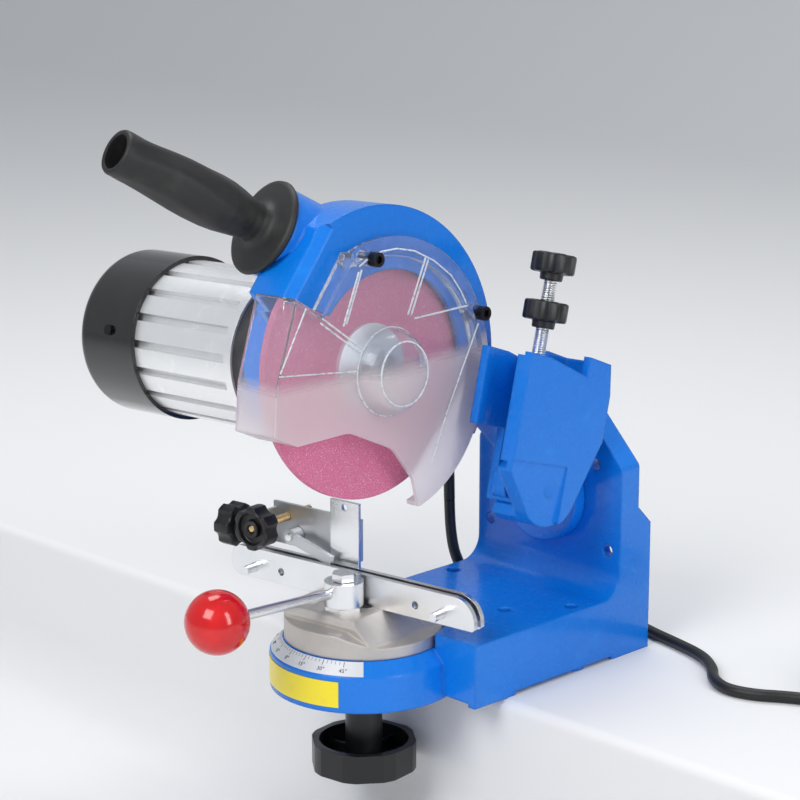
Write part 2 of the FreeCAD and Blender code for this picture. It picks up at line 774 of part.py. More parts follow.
# ---------------------------------------------------------------- rails and their clamp
def rail(face_y):
    top = "vise_seat + rail_height"
    points = [("rail_left", "vise_seat", "rail_end_radius"),
              ("rail_right", "vise_seat", "rail_corner_radius"),
              ("rail_right", top, "rail_nose_radius"),
              ("rail_left", top, "rail_end_radius")]
    bar = slab(outline(VISE, (0, face_y + " + rail_thickness", 0), "y", points), "rail_thickness")
    for hole_x in ("rail_hole_left", "rail_hole_right"):
        bar = cut(bar, rod(VISE, (hole_x, face_y + " - plate_overlap", "vise_seat + rail_hole_height"),
                           "rail_hole_radius", "rail_thickness + 2 * plate_overlap", "y"))
    return bar


def make_rails():
    front_y = "(-rail_gap / 2 - rail_thickness)"
    back_y = "(rail_gap / 2)"
    pin_z = "vise_seat + guide_pin_height"
    front = rail(front_y)
    back = rail(back_y)
    pins = []
    for pin_x in ("guide_pin_left", "guide_pin_right"):
        start = "%s - guide_pin_length" % front_y
        length = "%s + rail_thickness - (%s)" % (back_y, start)
        pins.append(rod(VISE, (pin_x, start, pin_z), "guide_pin_radius", length, "y"))
        for bar, low, play in (("front", front_y, "running_gap"), ("back", back_y, "running_gap")):
            hole = rod(VISE, (pin_x, low + " - plate_overlap", pin_z), "guide_pin_radius + " + play,
                       "rail_thickness + 2 * plate_overlap", "y")
            if bar == "front":
                front = cut(front, hole)
            else:
                back = cut(back, hole)
    for index in (0, 1):
        screw_x = "post_left + post_width * %s" % ("0.3" if index == 0 else "0.7")
        back = cut(back, rod(VISE, (screw_x, back_y + " - plate_overlap", "vise_seat + rail_hole_height"),
                             "post_screw_radius + running_gap", "rail_thickness + 2 * plate_overlap", "y"))
    node("front_rail", front)
    node("rear_rail", back)
    node("rail_guide_pins", group(*pins))


def make_clamp():
    low = "disc_height + dial_rise + seat_gap + cast_wall + plate_overlap"
    nut_low = "vise_seat"
    hub_low = "vise_seat + clamp_nut_height + seat_gap"
    head_low = hub_low + " + clamp_hub_height + seat_gap"
    bolt = join(rod(VISE, ("clamp_x", "clamp_y", low), "clamp_bolt_radius", "(%s) - (%s)" % (head_low, low)),
                prism(VISE, ("clamp_x", "clamp_y", head_low), "clamp_head_flats", "clamp_head_height"))
    node("clamp_bolt", bolt)
    node("clamp_nut", cut(prism(VISE, ("clamp_x", "clamp_y", nut_low), "clamp_nut_flats",
                                "clamp_nut_height"),
                          rod(VISE, ("clamp_x", "clamp_y", nut_low), "clamp_bolt_radius + running_gap",
                              "clamp_nut_height")))
    lever_z = hub_low + " + lever_height"
    hub = rod(LEVER, (0, 0, hub_low), "clamp_hub_radius", "clamp_hub_height")
    hub = cut(hub, rod(LEVER, (0, 0, hub_low), "clamp_bolt_radius + running_gap", "clamp_hub_height"),
              rod(LEVER, ("clamp_hub_radius * 0.6", 0, lever_z), "lever_radius", "clamp_hub_radius", "x"))
    node("clamp_hub", hub)
    node("clamp_lever", rod(LEVER, ("clamp_hub_radius * 0.6", 0, lever_z), "lever_radius",
                            "lever_length - clamp_hub_radius * 0.6", "x"))
    knob = ball(LEVER, ("lever_length", 0, lever_z), "ball_radius")
    knob = cut(knob, rod(LEVER, (0, 0, lever_z), "lever_radius", "lever_length", "x"))
    node("lever_ball", knob)


# ---------------------------------------------------------------- chain stop
def make_stop():
    post_y = "rail_gap / 2 + rail_thickness"
    post = block(VISE, ("post_left", post_y, "vise_seat"),
                 ("post_width", "post_thickness", "post_top - vise_seat"))
    screws = []
    plate_y = post_y + " + post_thickness"
    screw_z = "vise_seat + rail_hole_height"
    for share in ("0.3", "0.7"):
        screw_x = "post_left + post_width * " + share
        post = cut(post, rod(VISE, (screw_x, post_y + " - plate_overlap", screw_z),
                             "post_screw_radius + running_gap", "post_thickness + 2 * plate_overlap", "y"))
        shank = rod(VISE, (screw_x, "rail_gap / 2", screw_z), "post_screw_radius",
                    "rail_thickness + post_thickness", "y")
        head = rod(VISE, (screw_x, plate_y, screw_z), "post_screw_head", "post_screw_radius", "y")
        screws.append(join(shank, head))
    post = cut(post, rod(VISE, ("post_left + post_width / 2", post_y + " - plate_overlap",
                                "post_top - post_screw_head"), "post_screw_radius",
                         "post_thickness + 2 * plate_overlap", "y"))
    node("stop_post", post)
    node("post_screws", group(*screws))

    plate = block(VISE, ("bracket_left", plate_y, "bracket_low"),
                  ("post_left + post_width - bracket_left", "bracket_thickness", "bracket_height"))
    ear = block(VISE, ("bracket_left", "-bracket_reach", "bracket_low"),
                ("bracket_thickness", "%s + bracket_reach + bracket_thickness" % plate_y,
                 "bracket_height * 0.85"))
    bracket = join(plate, ear)
    play = " + running_gap"
    bracket = cut(bracket,
                  rod(VISE, ("stop_screw_x", plate_y + " - plate_overlap", "stop_screw_z"),
                      "stop_screw_radius" + play, "bracket_thickness + 2 * plate_overlap", "y"),
                  rod(VISE, ("bracket_left - plate_overlap", "lock_screw_y", "lock_screw_z"),
                      "stop_screw_radius" + play, "bracket_thickness + 2 * plate_overlap", "x"),
                  rod(VISE, ("pawl_pivot_x", plate_y + " - plate_overlap", "pawl_pivot_z"),
                      "pawl_pin_radius" + play, "bracket_thickness + 2 * plate_overlap", "y"))
    node("stop_bracket", bracket)

    pin_start = "-pawl_thickness"
    node("pawl_pin", rod(VISE, ("pawl_pivot_x", pin_start, "pawl_pivot_z"), "pawl_pin_radius",
                         "%s + bracket_thickness - (%s)" % (plate_y, pin_start), "y"))
    pawl = add("Part::Box")
    for side, length in zip(("Length", "Width", "Height"), ("pawl_length", "pawl_thickness", "pawl_height")):
        pawl.setExpression(side, bind(length))
    steps = VISE + " * placement(vector(pawl_pivot_x; -pawl_thickness / 2; pawl_pivot_z);"
    steps += " rotation(vector(0;1;0); pawl_droop))"
    steps += " * placement(vector(0; 0; -pawl_height / 2); rotation(vector(0;0;1); 0))"
    pawl.setExpression("Placement", bind(steps))
    sleeve = rod(VISE, ("pawl_pivot_x", "-pawl_thickness / 2", "pawl_pivot_z"), "pawl_height * 0.75",
                 "%s + pawl_thickness / 2 - seat_gap" % plate_y, "y")
    pawl_bore = rod(VISE, ("pawl_pivot_x", "-pawl_thickness", "pawl_pivot_z"),
                    "pawl_pin_radius + running_gap", "rail_gap * 5", "y")
    node("stop_pawl", cut(join(pawl, sleeve), pawl_bore))

    node("stop_screw", rod(VISE, ("stop_screw_x", "stop_screw_front", "stop_screw_z"), "stop_screw_radius",
                           "stop_screw_back - stop_screw_front", "y"))
    node("stop_knob", lobed_knob(VISE, ("stop_screw_x", "stop_screw_front - plate_overlap", "stop_screw_z"),
                                 "y", "small_knob_radius", "small_knob_height", "small_knob_lobes",
                                 "knob_hub_height", "stop_screw_radius + running_gap",
                                 "knob_hub_radius * 0.8"))
    start = "bracket_left - lock_screw_length"
    node("stop_lock_screw", rod(VISE, (start, "lock_screw_y", "lock_screw_z"), "stop_screw_radius",
                                "lock_screw_length + bracket_thickness", "x"))
    node("stop_lock_knob", lobed_knob(VISE, (start + " - plate_overlap", "lock_screw_y", "lock_screw_z"),
                                      "x", "small_knob_radius", "small_knob_height",
                                      "small_knob_lobes", "knob_hub_height * 2", "stop_screw_radius"))


# ---------------------------------------------------------------- tilting bracket, hinge, tilt lock
def make_tilt_bracket():
    disc_y = "wall_front - seat_gap - tilt_disc_thickness"
    disc = rod(TILT, (0, disc_y, 0), "tilt_disc_radius", "tilt_disc_thickness", "y")
    spine_y = disc_y + " - spine_thickness"
    left = "arm_left + cast_wall + seat_gap * 2"
    width = "ear_width"
    spine = block(TILT, ("spine_left", spine_y, "hinge_z - spine_height / 2"),
                  ("%s + ear_width - spine_left" % left, "spine_thickness", "spine_height"))
    ear = rod(TILT, (left, "hinge_y", "hinge_z"), "ear_radius", width, "x")
    arm = block(TILT, (left, "hinge_y", "hinge_z - ear_radius * 0.8"),
                (width, "(%s) - hinge_y + plate_overlap" % spine_y, "ear_radius * 1.6"))
    lug_top = "hinge_z - stop_lug_drop"
    lug_width = "ear_width + stop_lug_width"
    lug = block(TILT, (left, "hinge_y - ear_radius - depth_screw_radius",
                       "(%s) - stop_lug_height" % lug_top),
                (lug_width, "ear_radius - hinge_pin_radius", "stop_lug_height"))
    lug = meet(lug, rod(TILT, (left, "hinge_y", "hinge_z"),
                        "arm_bottom_radius - cast_wall - seat_gap * 2", lug_width, "x"))
    pin_bore = rod(TILT, (left + " - plate_overlap", "hinge_y", "hinge_z"),
                   "hinge_pin_radius + running_gap", width + " + 2 * plate_overlap", "x")
    bolt_bore = rod(TILT, (0, disc_y + " - spine_thickness / 2", 0), "tilt_bolt_radius + running_gap",
                    "tilt_disc_thickness + spine_thickness", "y")
    parts = [disc, spine, ear, arm, lug]
    bores = [pin_bore, bolt_bore]
    node("tilt_bracket", cut(join(*parts), *bores))

    pin_left = "arm_left + cast_wall * 0.4"
    node("hinge_pin", rod(HINGE, (pin_left, 0, 0), "hinge_pin_radius",
                          "arm_right - cast_wall * 0.4 - (%s)" % pin_left, "x"))
    helix = add("Part::Helix")
    helix.setExpression("Pitch", bind("spring_pitch"))
    helix.setExpression("Height", bind("spring_length"))
    coil_radius = "hinge_pin_radius + spring_wire_radius + seat_gap"
    helix.setExpression("Radius", bind(coil_radius))
    wire = add("Part::Circle")
    wire.setExpression("Radius", bind("spring_wire_radius"))
    wire.setExpression("Placement", bind("placement(vector(%s; 0; 0);" % coil_radius
                                         + " rotation(vector(1;0;0); 90))"))
    coil = add("Part::Sweep")
    coil.Sections = [wire]
    coil.Spine = (helix, [])
    coil.Solid = True
    coil.Frenet = True
    put(coil, HINGE, ("arm_left + cast_wall + seat_gap * 4 + ear_width + stop_lug_width"
                      " + spring_wire_radius", 0, 0), ALONG["x"])
    node("return_spring", coil)

    bolt_start = disc_y + " - spine_thickness / 2"
    node("tilt_bolt", rod(TILT, (0, bolt_start, 0), "tilt_bolt_radius",
                          "tilt_disc_thickness + spine_thickness / 2 + wall_plate + tilt_bolt_length", "y"))
    knob_y = "wall_front + wall_plate + seat_gap + knob_hub_height * 2 + tilt_knob_height"
    node("tilt_lock_knob", lobed_knob(TILT, (0, knob_y, 0), "-y", "tilt_knob_radius", "tilt_knob_height",
                                      "small_knob_lobes", "knob_hub_height * 2",
                                      "tilt_bolt_radius + running_gap"))


# ---------------------------------------------------------------- head casting
def arm_outline(x_at, depth, grow):
    """The arm's side profile about the hinge pin; grow moves its edges in by that much."""
    points = [("-arm_front + " + grow, "arm_front_low"),
              ("-arm_bottom_radius * 0.78 + " + grow, "-arm_bottom_radius * 0.62 + " + grow),
              ("arm_bottom_radius * 0.95 - " + grow, "-arm_bottom_radius * 0.32 + " + grow),
              ("arm_back - " + grow, "arm_back_low"),
              ("arm_back - " + grow, "arm_top - arm_notch_depth * 2"),
              ("arm_back * 0.9 - " + grow, "arm_top + arm_notch_depth * 0.15"),
              ("arm_notch_back", "arm_top + arm_notch_depth * 0.4"),
              ("arm_notch_back", "arm_top - arm_notch_depth"),
              ("-arm_notch_front", "arm_top - plate_overlap"),
              ("-arm_front + " + grow, "arm_top")]
    return slab(outline(ARM, (x_at, 0, 0), "x", points), depth)


def make_head():
    arm_width = "arm_right - arm_left"
    side = join(arm_outline("arm_left", arm_width, "0"),
                rod(ARM, ("arm_left", 0, 0), "arm_bottom_radius", arm_width, "x"))
    room_width = arm_width + " - 2 * cast_wall"
    room = [rod(ARM, ("arm_left + cast_wall", 0, 0), "arm_bottom_radius - cast_wall", room_width, "x"),
            slab(outline(ARM, ("arm_left + cast_wall", 0, 0), "x", [
                ("-arm_front * 2", "arm_front_low + cast_wall"),
                ("-arm_front * 0.62", "arm_front_low"),
                ("-arm_bottom_radius * 0.45", "-arm_bottom_radius * 0.5"),
                ("arm_bottom_radius * 2", "-arm_bottom_radius * 1.5"),
                ("arm_back * 2", "-arm_bottom_radius * 1.5"),
                ("arm_back * 2", "arm_back_low"),
                ("arm_back - cast_wall", "arm_back_low"),
                ("arm_back - cast_wall", "arm_top * 2"),
                ("-arm_front * 2", "arm_top * 2")]), room_width)]
    ridge = block(ARM, ("arm_right - cast_wall * 2", "-arm_front", "arm_front_low + cast_wall"),
                  ("cast_wall * 1.5", "ridge_width", "arm_top - arm_front_low - cast_wall * 1.4"))
    boss_height = "arm_top - arm_notch_depth / 2 - screw_boss_low"
    boss = join(rod(ARM, ("depth_screw_x", "-depth_screw_front", "screw_boss_low"), "screw_boss_radius",
                    boss_height),
                block(ARM, ("depth_screw_x", "-depth_screw_front - screw_boss_radius", "screw_boss_low"),
                      ("arm_right - cast_wall / 2 - depth_screw_x", "screw_boss_radius * 2", boss_height)))
    boss_bore = rod(ARM, ("depth_screw_x", "-depth_screw_front", 0), "depth_screw_radius + running_gap",
                    "arm_top * 2")
    left_cut = "arm_left - plate_overlap"
    low_front = block(ARM, (left_cut, "-arm_front - plate_overlap", "-arm_bottom_radius - plate_overlap"),
                      (arm_width + " - cast_wall * 2", "arm_front - hinge_boss + plate_overlap",
                       "arm_bottom_radius + arm_back_low"))
    low_left = block(ARM, (left_cut, "-arm_front", "-arm_bottom_radius - plate_overlap"),
                     ("cast_wall + 2 * plate_overlap", "arm_front * 2",
                      "arm_bottom_radius - hinge_boss + plate_overlap"))
    spine_way = slab(outline(ARM, (left_cut, 0, 0), "x", [
        ("ear_radius * 1.6", "-arm_bottom_radius * 1.5"), ("ear_radius * 1.6", "arm_back_low * 0.78"),
        ("arm_back + plate_overlap", "arm_back_low + plate_overlap"),
        ("arm_back + plate_overlap", "-arm_bottom_radius * 1.5")]), "cast_wall + 2 * plate_overlap")
    pocket = slab(outline(ARM, (0, "pocket_back", 0), "y", [
        ("arm_right - pocket_step", "pocket_top"), ("arm_right + plate_overlap", "pocket_top"),
        ("arm_right + plate_overlap", "-arm_bottom_radius * 1.2"),
        ("arm_right - pocket_depth", "-arm_bottom_radius * 1.2")]), "pocket_back + arm_front * 1.2")
    arm = cut(join(cut(side, join(*room), low_front, low_left, spine_way), ridge, boss), pocket)

    drum_depth = "fender_front - fender_back"
    drum = rod(HEAD, ("fender_back", "fender_centre_y", 0), "fender_radius", drum_depth, "x")
    reach = "fender_radius * 1.2"
    keep = slab(outline(HEAD, ("fender_back - plate_overlap", 0, 0), "x", [
        ("fender_left", "fender_left_z"),
        ("fender_shoulder_y", "fender_shoulder_z"),
        ("fender_shoulder_y * 0.6", "fender_radius * 1.1"),
        (reach, "fender_radius * 1.1"),
        (reach, "fender_foot_z"),
        ("fender_foot_y", "fender_foot_z"),
        ("neck_radius", "-neck_radius * 0.6"),
        ("0", "-neck_radius * 0.9"),
        ("-neck_radius * 0.8", "-neck_radius * 0.4"),
        ("-neck_radius * 0.9", "neck_radius * 0.4")]), drum_depth + " + 2 * plate_overlap")
    fender = meet(drum, keep)
    neck = rod(HEAD, ("neck_left", 0, 0), "neck_radius", "fender_back - neck_left + plate_overlap", "x")
    neck_room = cut(rod(HEAD, ("neck_left - plate_overlap", 0, 0), "neck_bore",
                        "fender_back - neck_left + plate_overlap", "x"),
                    rod(HEAD, ("neck_left - 2 * plate_overlap", 0, 0), "bearing_boss",
                        "fender_back - neck_left + 4 * plate_overlap", "x"))
    handle_boss = rod(GRIP, (0, 0, "-handle_boss_length"), "handle_boss_radius",
                      "handle_boss_length - seat_gap")
    web_length = "arm_left - wheel_x - fender_back + cast_wall"
    web_right = "(arm_left - wheel_x + cast_wall)"
    web = slab(outline(HEAD, (0, "web_front + web_thickness", 0), "y", [
        ("fender_back", "web_top"), (web_right, "web_top"), (web_right, "web_low_right"),
        ("0", "fender_foot_z"), ("fender_back", "fender_foot_z")]), "web_thickness")
    shelf = block(HEAD, ("fender_back", "web_front", "shelf_top - web_thickness"),
                  (web_length, "shelf_depth", "web_thickness"))
    cavity_depth = "fender_front - fender_back - 2 * fender_plate"
    cavity = rod(HEAD, ("fender_back + fender_plate", "fender_centre_y", 0), "fender_radius - fender_rim",
                 cavity_depth, "x")
    window = rod(HEAD, ("fender_front - fender_plate - plate_overlap", "window_y", "window_z"),
                 "window_radius", "fender_plate + 2 * plate_overlap", "x")
    window_left = slab(outline(HEAD, ("fender_front - fender_plate - plate_overlap", 0, 0), "x", [
        ("-window_radius * 0.55", "window_radius * 0.58"),
        ("fender_left * 1.17", "fender_left_z * 1.096"),
        ("fender_left * 1.17", "-window_radius"),
        ("window_y", "-window_radius * 1.5"),
        ("window_y", "window_z")]), "fender_plate + 2 * plate_overlap")
    window_low = block(HEAD, ("fender_front - fender_plate - plate_overlap", "-window_radius",
                              "-fender_radius"),
                       ("fender_plate + 2 * plate_overlap", "window_radius + window_y + window_radius * 0.97",
                        "fender_radius + window_z"))
    shaft_way = rod(HEAD, ("neck_left - plate_overlap", 0, 0), "spindle_radius + 1",
                    "fender_back - neck_left + fender_plate + 2 * plate_overlap", "x")
    bearing_seat = rod(HEAD, ("front_bearing_x", 0, 0), "bearing_radius + running_gap / 2",
                       "bearing_width + running_gap", "x")
    bearing_way = rod(HEAD, ("neck_left - 2 * plate_overlap", 0, 0), "bearing_radius + running_gap / 2",
                      "front_bearing_x - neck_left + 3 * plate_overlap", "x")
    stud_hole = rod(GRIP, (0, 0, "-handle_boss_length"), "handle_stud_radius + running_gap",
                    "handle_boss_length")
    guard_holes = []
    for hole_y, hole_z in (("upper_screw_y", "upper_screw_z"), ("side_screw_y", "side_screw_z")):
        guard_holes.append(rod(HEAD, ("fender_front - fender_plate - plate_overlap", hole_y, hole_z),
                               "guard_screw_radius + running_gap", "fender_plate + 2 * plate_overlap", "x"))
    hinge_bore = rod(HINGE, ("arm_left + cast_wall * 0.4 - running_gap", 0, 0),
                     "hinge_pin_radius + running_gap / 2",
                     arm_width + " - cast_wall * 0.8 + 2 * running_gap", "x")
    gland_hole = rod(HEAD, ("neck_left / 2 + fender_back / 2", 0, 0), "gland_radius * 0.5 + running_gap",
                     "neck_radius * 1.2", "y")
    switch_hole = block(ARM, ("switch_x - switch_width / 2 + switch_bezel", "arm_back - cast_wall * 1.5",
                              "switch_w - switch_height / 2 + switch_bezel"),
                        ("switch_width - 2 * switch_bezel", "cast_wall * 3",
                         "switch_height - 2 * switch_bezel"))
    solid = join(arm, fender, cut(neck, neck_room), handle_boss, web, shelf)
    solid = cut(solid, cavity, window, window_left, window_low, shaft_way, bearing_seat, bearing_way,
                stud_hole, hinge_bore, boss_bore, gland_hole, switch_hole, *guard_holes)
    side_length = "sqrt((fender_shoulder_y - fender_left)^2 + (fender_shoulder_z - fender_left_z)^2)"
    side_wall = block(FLANK, ("fender_back", 0, "-side_wall"), (drum_depth, side_length, "side_wall"))
    side_lip = block(FLANK, ("fender_front - fender_plate - side_lip", 0, "-side_wall - side_bevel"),
                     ("fender_plate / 2 + side_lip", side_length, "side_wall + side_bevel"))
    bevel = slab(outline(FLANK, (0, side_length + " * 1.3", 0), "y", [
        ("fender_front - side_bevel - plate_overlap", "plate_overlap"),
        ("fender_front + plate_overlap", "-side_bevel - plate_overlap"),
        ("fender_front + plate_overlap", "plate_overlap")]), side_length + " * 1.5")
    collar_room = rod(GRIP, (0, 0, "-seat_gap / 2"), "collar_radius + seat_gap", "collar_thickness * 2")
    node("head_casting", cut(join(solid, side_wall, side_lip), bevel, collar_room))


def make_depth_stop():
    tip = "0.8"
    at = ("depth_screw_x", "-depth_screw_front")
    node("depth_screw", rod(ARM, at + (tip,), "depth_screw_radius", "depth_knob_low - (%s)" % tip
                            + " + depth_knob_height"))
    node("depth_knob", lobed_knob(ARM, at + ("depth_knob_low + depth_knob_height + knob_hub_height",), "-z",
                                  "depth_knob_radius", "depth_knob_height", "small_knob_lobes",
                                  "knob_hub_height", "depth_screw_radius + running_gap"))
    node("depth_lock_knob", lobed_knob(ARM, at + ("depth_lock_low + depth_knob_height + knob_hub_height",),
                                       "-z", "depth_knob_radius", "depth_knob_height", "small_knob_lobes",
                                       "knob_hub_height", "depth_screw_radius + running_gap"))


def make_handle():
    points = [("grip_neck_radius * 0.9", 0), ("collar_radius", 0), ("collar_radius", "collar_thickness"),
              ("grip_neck_radius", "collar_thickness * 1.6"),
              ("grip_neck_radius", "grip_length * 0.15"),
              ("grip_middle_radius", "grip_length * 0.34"),
              ("grip_middle_radius", "grip_length * 0.62"),
              ("grip_end_radius", "grip_length * 0.85"),
              ("grip_end_radius", "grip_length"),
              ("grip_bore_radius", "grip_length"),
              ("grip_bore_radius", "grip_length - grip_bore_depth"),
              ("handle_stud_radius", "grip_length - grip_bore_depth * 1.2"),
              ("handle_stud_radius", 0)]
    node("handle_grip", turned(GRIP, (0, 0, 0), "z", points[1:]))
    node("handle_stud", rod(GRIP, (0, 0, "-handle_boss_length * 0.6"), "handle_stud_radius",
                            "handle_boss_length * 0.6 + handle_stud_grip"))


# ---------------------------------------------------------------- motor
def make_motor():
    length = "motor_front - motor_back"
    body = rod(HEAD, ("motor_back", 0, 0), "motor_radius", length, "x")
    grooves = []
    for index in range(int(value("fin_count"))):
        groove = add("Part::Box")
        groove.setExpression("Length", bind("(%s) - fin_ring + plate_overlap" % length))
        groove.setExpression("Width", bind("fin_groove_width"))
        groove.setExpression("Height", bind("fin_groove_depth * 2"))
        steps = HEAD + " * placement(vector(motor_back - plate_overlap; 0; 0);"
        steps += " rotation(vector(1;0;0); fin_start + %d * fin_pitch))" % index
        steps += " * placement(vector(0; -fin_groove_width / 2; motor_radius - fin_groove_depth);"
        steps += " rotation(vector(0;0;1); 0))"
        groove.setExpression("Placement", bind(steps))
        grooves.append(groove)
    bore = rod(HEAD, ("motor_back - plate_overlap", 0, 0), "motor_bore", length + " + 2 * plate_overlap", "x")
    node("motor_housing", cut(body, join(*grooves), bore))
    ring_x = "neck_left"
    node("motor_front_ring", cut(rod(HEAD, ("motor_front", 0, 0), "front_ring_radius",
                                     ring_x + " - motor_front", "x"),
                                 rod(HEAD, ("motor_front - plate_overlap", 0, 0), "motor_bore",
                                     ring_x + " - motor_front + 2 * plate_overlap", "x")))
    lap = "motor_back + cap_lap"
    cap = turned(HEAD, ("cap_back", 0, 0), "x", [
        (0, 0), ("cap_radius", 0, "cap_round"), ("cap_radius", lap + " - cap_back"),
        ("motor_radius + running_gap", lap + " - cap_back"),
        ("motor_radius + running_gap", "motor_back - cap_back"),
        ("cap_radius - cap_wall", "motor_back - cap_back"),
        ("cap_radius - cap_wall", "cap_wall", "cap_round - cap_wall"), (0, "cap_wall")])
    screws = []
    for index in range(3):
        angle = "cap_screw_angle - 90 + %d * 120" % index
        for start, radius, long in (("cap_radius - cap_wall * 2", "cap_screw_radius * 0.6", "cap_wall * 2.5"),
                                    ("cap_radius + running_gap", "cap_screw_radius", "cap_screw_radius * 0.6")):
            screw = add("Part::Cylinder")
            screw.setExpression("Radius", bind(radius))
            screw.setExpression("Height", bind(long))
            steps = HEAD + " * placement(vector(cap_screw_x; 0; 0); rotation(vector(1;0;0); %s))" % angle
            steps += " * placement(vector(0; 0; %s); rotation(vector(0;0;1); 0))" % start
            screw.setExpression("Placement", bind(steps))
            screws.append(screw)
    pairs = [join(screws[index], screws[index + 1]) for index in (0, 2, 4)]
    holes = []
    for index in range(3):
        hole = add("Part::Cylinder")
        hole.setExpression("Radius", bind("cap_screw_radius * 0.6 + running_gap"))
        hole.setExpression("Height", bind("cap_wall * 4"))
        steps = HEAD + " * placement(vector(cap_screw_x; 0; 0);"
        steps += " rotation(vector(1;0;0); cap_screw_angle - 90 + %d * 120))" % index
        steps += " * placement(vector(0; 0; cap_radius - cap_wall * 3); rotation(vector(0;0;1); 0))"
        hole.setExpression("Placement", bind(steps))
        holes.append(hole)
    node("motor_end_cap", cut(cap, join(*holes)))
    node("cap_screws", group(*pairs))

    core_length = "stator_front - stator_back"
    rings = [cut(rod(HEAD, ("stator_back", 0, 0), "motor_bore", core_length, "x"),
                 rod(HEAD, ("stator_back", 0, 0), "stator_bore", core_length, "x"))]
    for start in ("stator_front", "stator_back - winding_length"):
        rings.append(cut(rod(HEAD, (start, 0, 0), "winding_outer", "winding_length", "x"),
                         rod(HEAD, (start, 0, 0), "winding_inner", "winding_length", "x")))
    node("stator", group(*rings))
    node("rotor", cut(rod(HEAD, ("stator_back", 0, 0), "rotor_radius", core_length, "x"),
                      rod(HEAD, ("stator_back", 0, 0), "spindle_radius", core_length, "x")))
    node("spindle", rod(HEAD, ("spindle_back", 0, 0), "spindle_radius", "spindle_front - spindle_back", "x"))

    rear_x = "motor_back + plate_overlap"
    bearings = []
    for start in ("front_bearing_x + running_gap / 2", rear_x):
        bearings.append(cut(rod(HEAD, (start, 0, 0), "bearing_radius", "bearing_width", "x"),
                            rod(HEAD, (start, 0, 0), "spindle_radius + running_gap", "bearing_width", "x")))
    node("spindle_bearings", group(*bearings))
    plate = rod(HEAD, ("motor_back", 0, 0), "motor_bore", "rear_bracket_plate", "x")
    hub = rod(HEAD, ("motor_back", 0, 0), "bearing_boss", "bearing_width + plate_overlap", "x")
    node("rear_bearing_bracket",
         cut(join(plate, hub),
             rod(HEAD, (rear_x, 0, 0), "bearing_radius", "bearing_width + plate_overlap", "x"),
             rod(HEAD, ("motor_back - plate_overlap", 0, 0), "spindle_radius + 1", "bearing_width", "x")))

    fan_parts = [rod(HEAD, ("fan_back", 0, 0), "fan_hub_radius", "fan_width", "x"),
                 rod(HEAD, ("fan_back + fan_width - fan_blade_thickness", 0, 0), "fan_radius * 0.7",
                     "fan_blade_thickness", "x")]
    for index in range(int(value("fan_blades"))):
        blade = add("Part::Box")
        blade.setExpression("Length", bind("fan_width"))
        blade.setExpression("Width", bind("fan_blade_thickness"))
        blade.setExpression("Height", bind("fan_radius - spindle_radius - 2"))
        steps = HEAD + " * placement(vector(fan_back; 0; 0);"
        steps += " rotation(vector(1;0;0); %d * 360 / fan_blades))" % index
        steps += " * placement(vector(0; -fan_blade_thickness / 2; spindle_radius + 2);"
        steps += " rotation(vector(0;0;1); 0))"
        blade.setExpression("Placement", bind(steps))
        fan_parts.append(blade)
    node("cooling_fan", cut(join(*fan_parts), rod(HEAD, ("fan_back - plate_overlap", 0, 0), "spindle_radius",
                                                  "fan_width + 2 * plate_overlap", "x")))


# ---------------------------------------------------------------- wheel, flanges, guard
def make_wheel():
    half = "wheel_thickness / 2"
    inner = join(rod(HEAD, ("-%s - inner_flange_thickness" % half, 0, 0), "flange_radius",
                     "inner_flange_thickness", "x"),
                 rod(HEAD, ("-" + half, 0, 0), "wheel_bore - running_gap", "wheel_thickness", "x"))
    inner = cut(inner, rod(HEAD, ("-flange_radius", 0, 0), "spindle_radius", "2 * flange_radius", "x"))
    wheel = rod(HEAD, ("-" + half, 0, 0), "wheel_radius", "wheel_thickness", "x")
    node("grinding_wheel", cut(wheel, rod(HEAD, ("-wheel_thickness", 0, 0), "wheel_bore",
                                          "2 * wheel_thickness", "x")))
    outer = turned(HEAD, (half, 0, 0), "x", [
        ("spindle_radius", 0), ("flange_radius", 0), ("flange_radius", "flange_thickness * 0.5"),
        ("flange_radius * 0.55", "flange_thickness"), ("spindle_radius", "flange_thickness")])
    node("wheel_flanges", group(inner, outer))
    nut_x = half + " + flange_thickness"
    nut = prism(HEAD, (nut_x, 0, 0), "nut_flats", "nut_height", "x")
    node("spindle_nut", cut(nut, rod(HEAD, (nut_x, 0, 0), "spindle_radius", "nut_height", "x")))


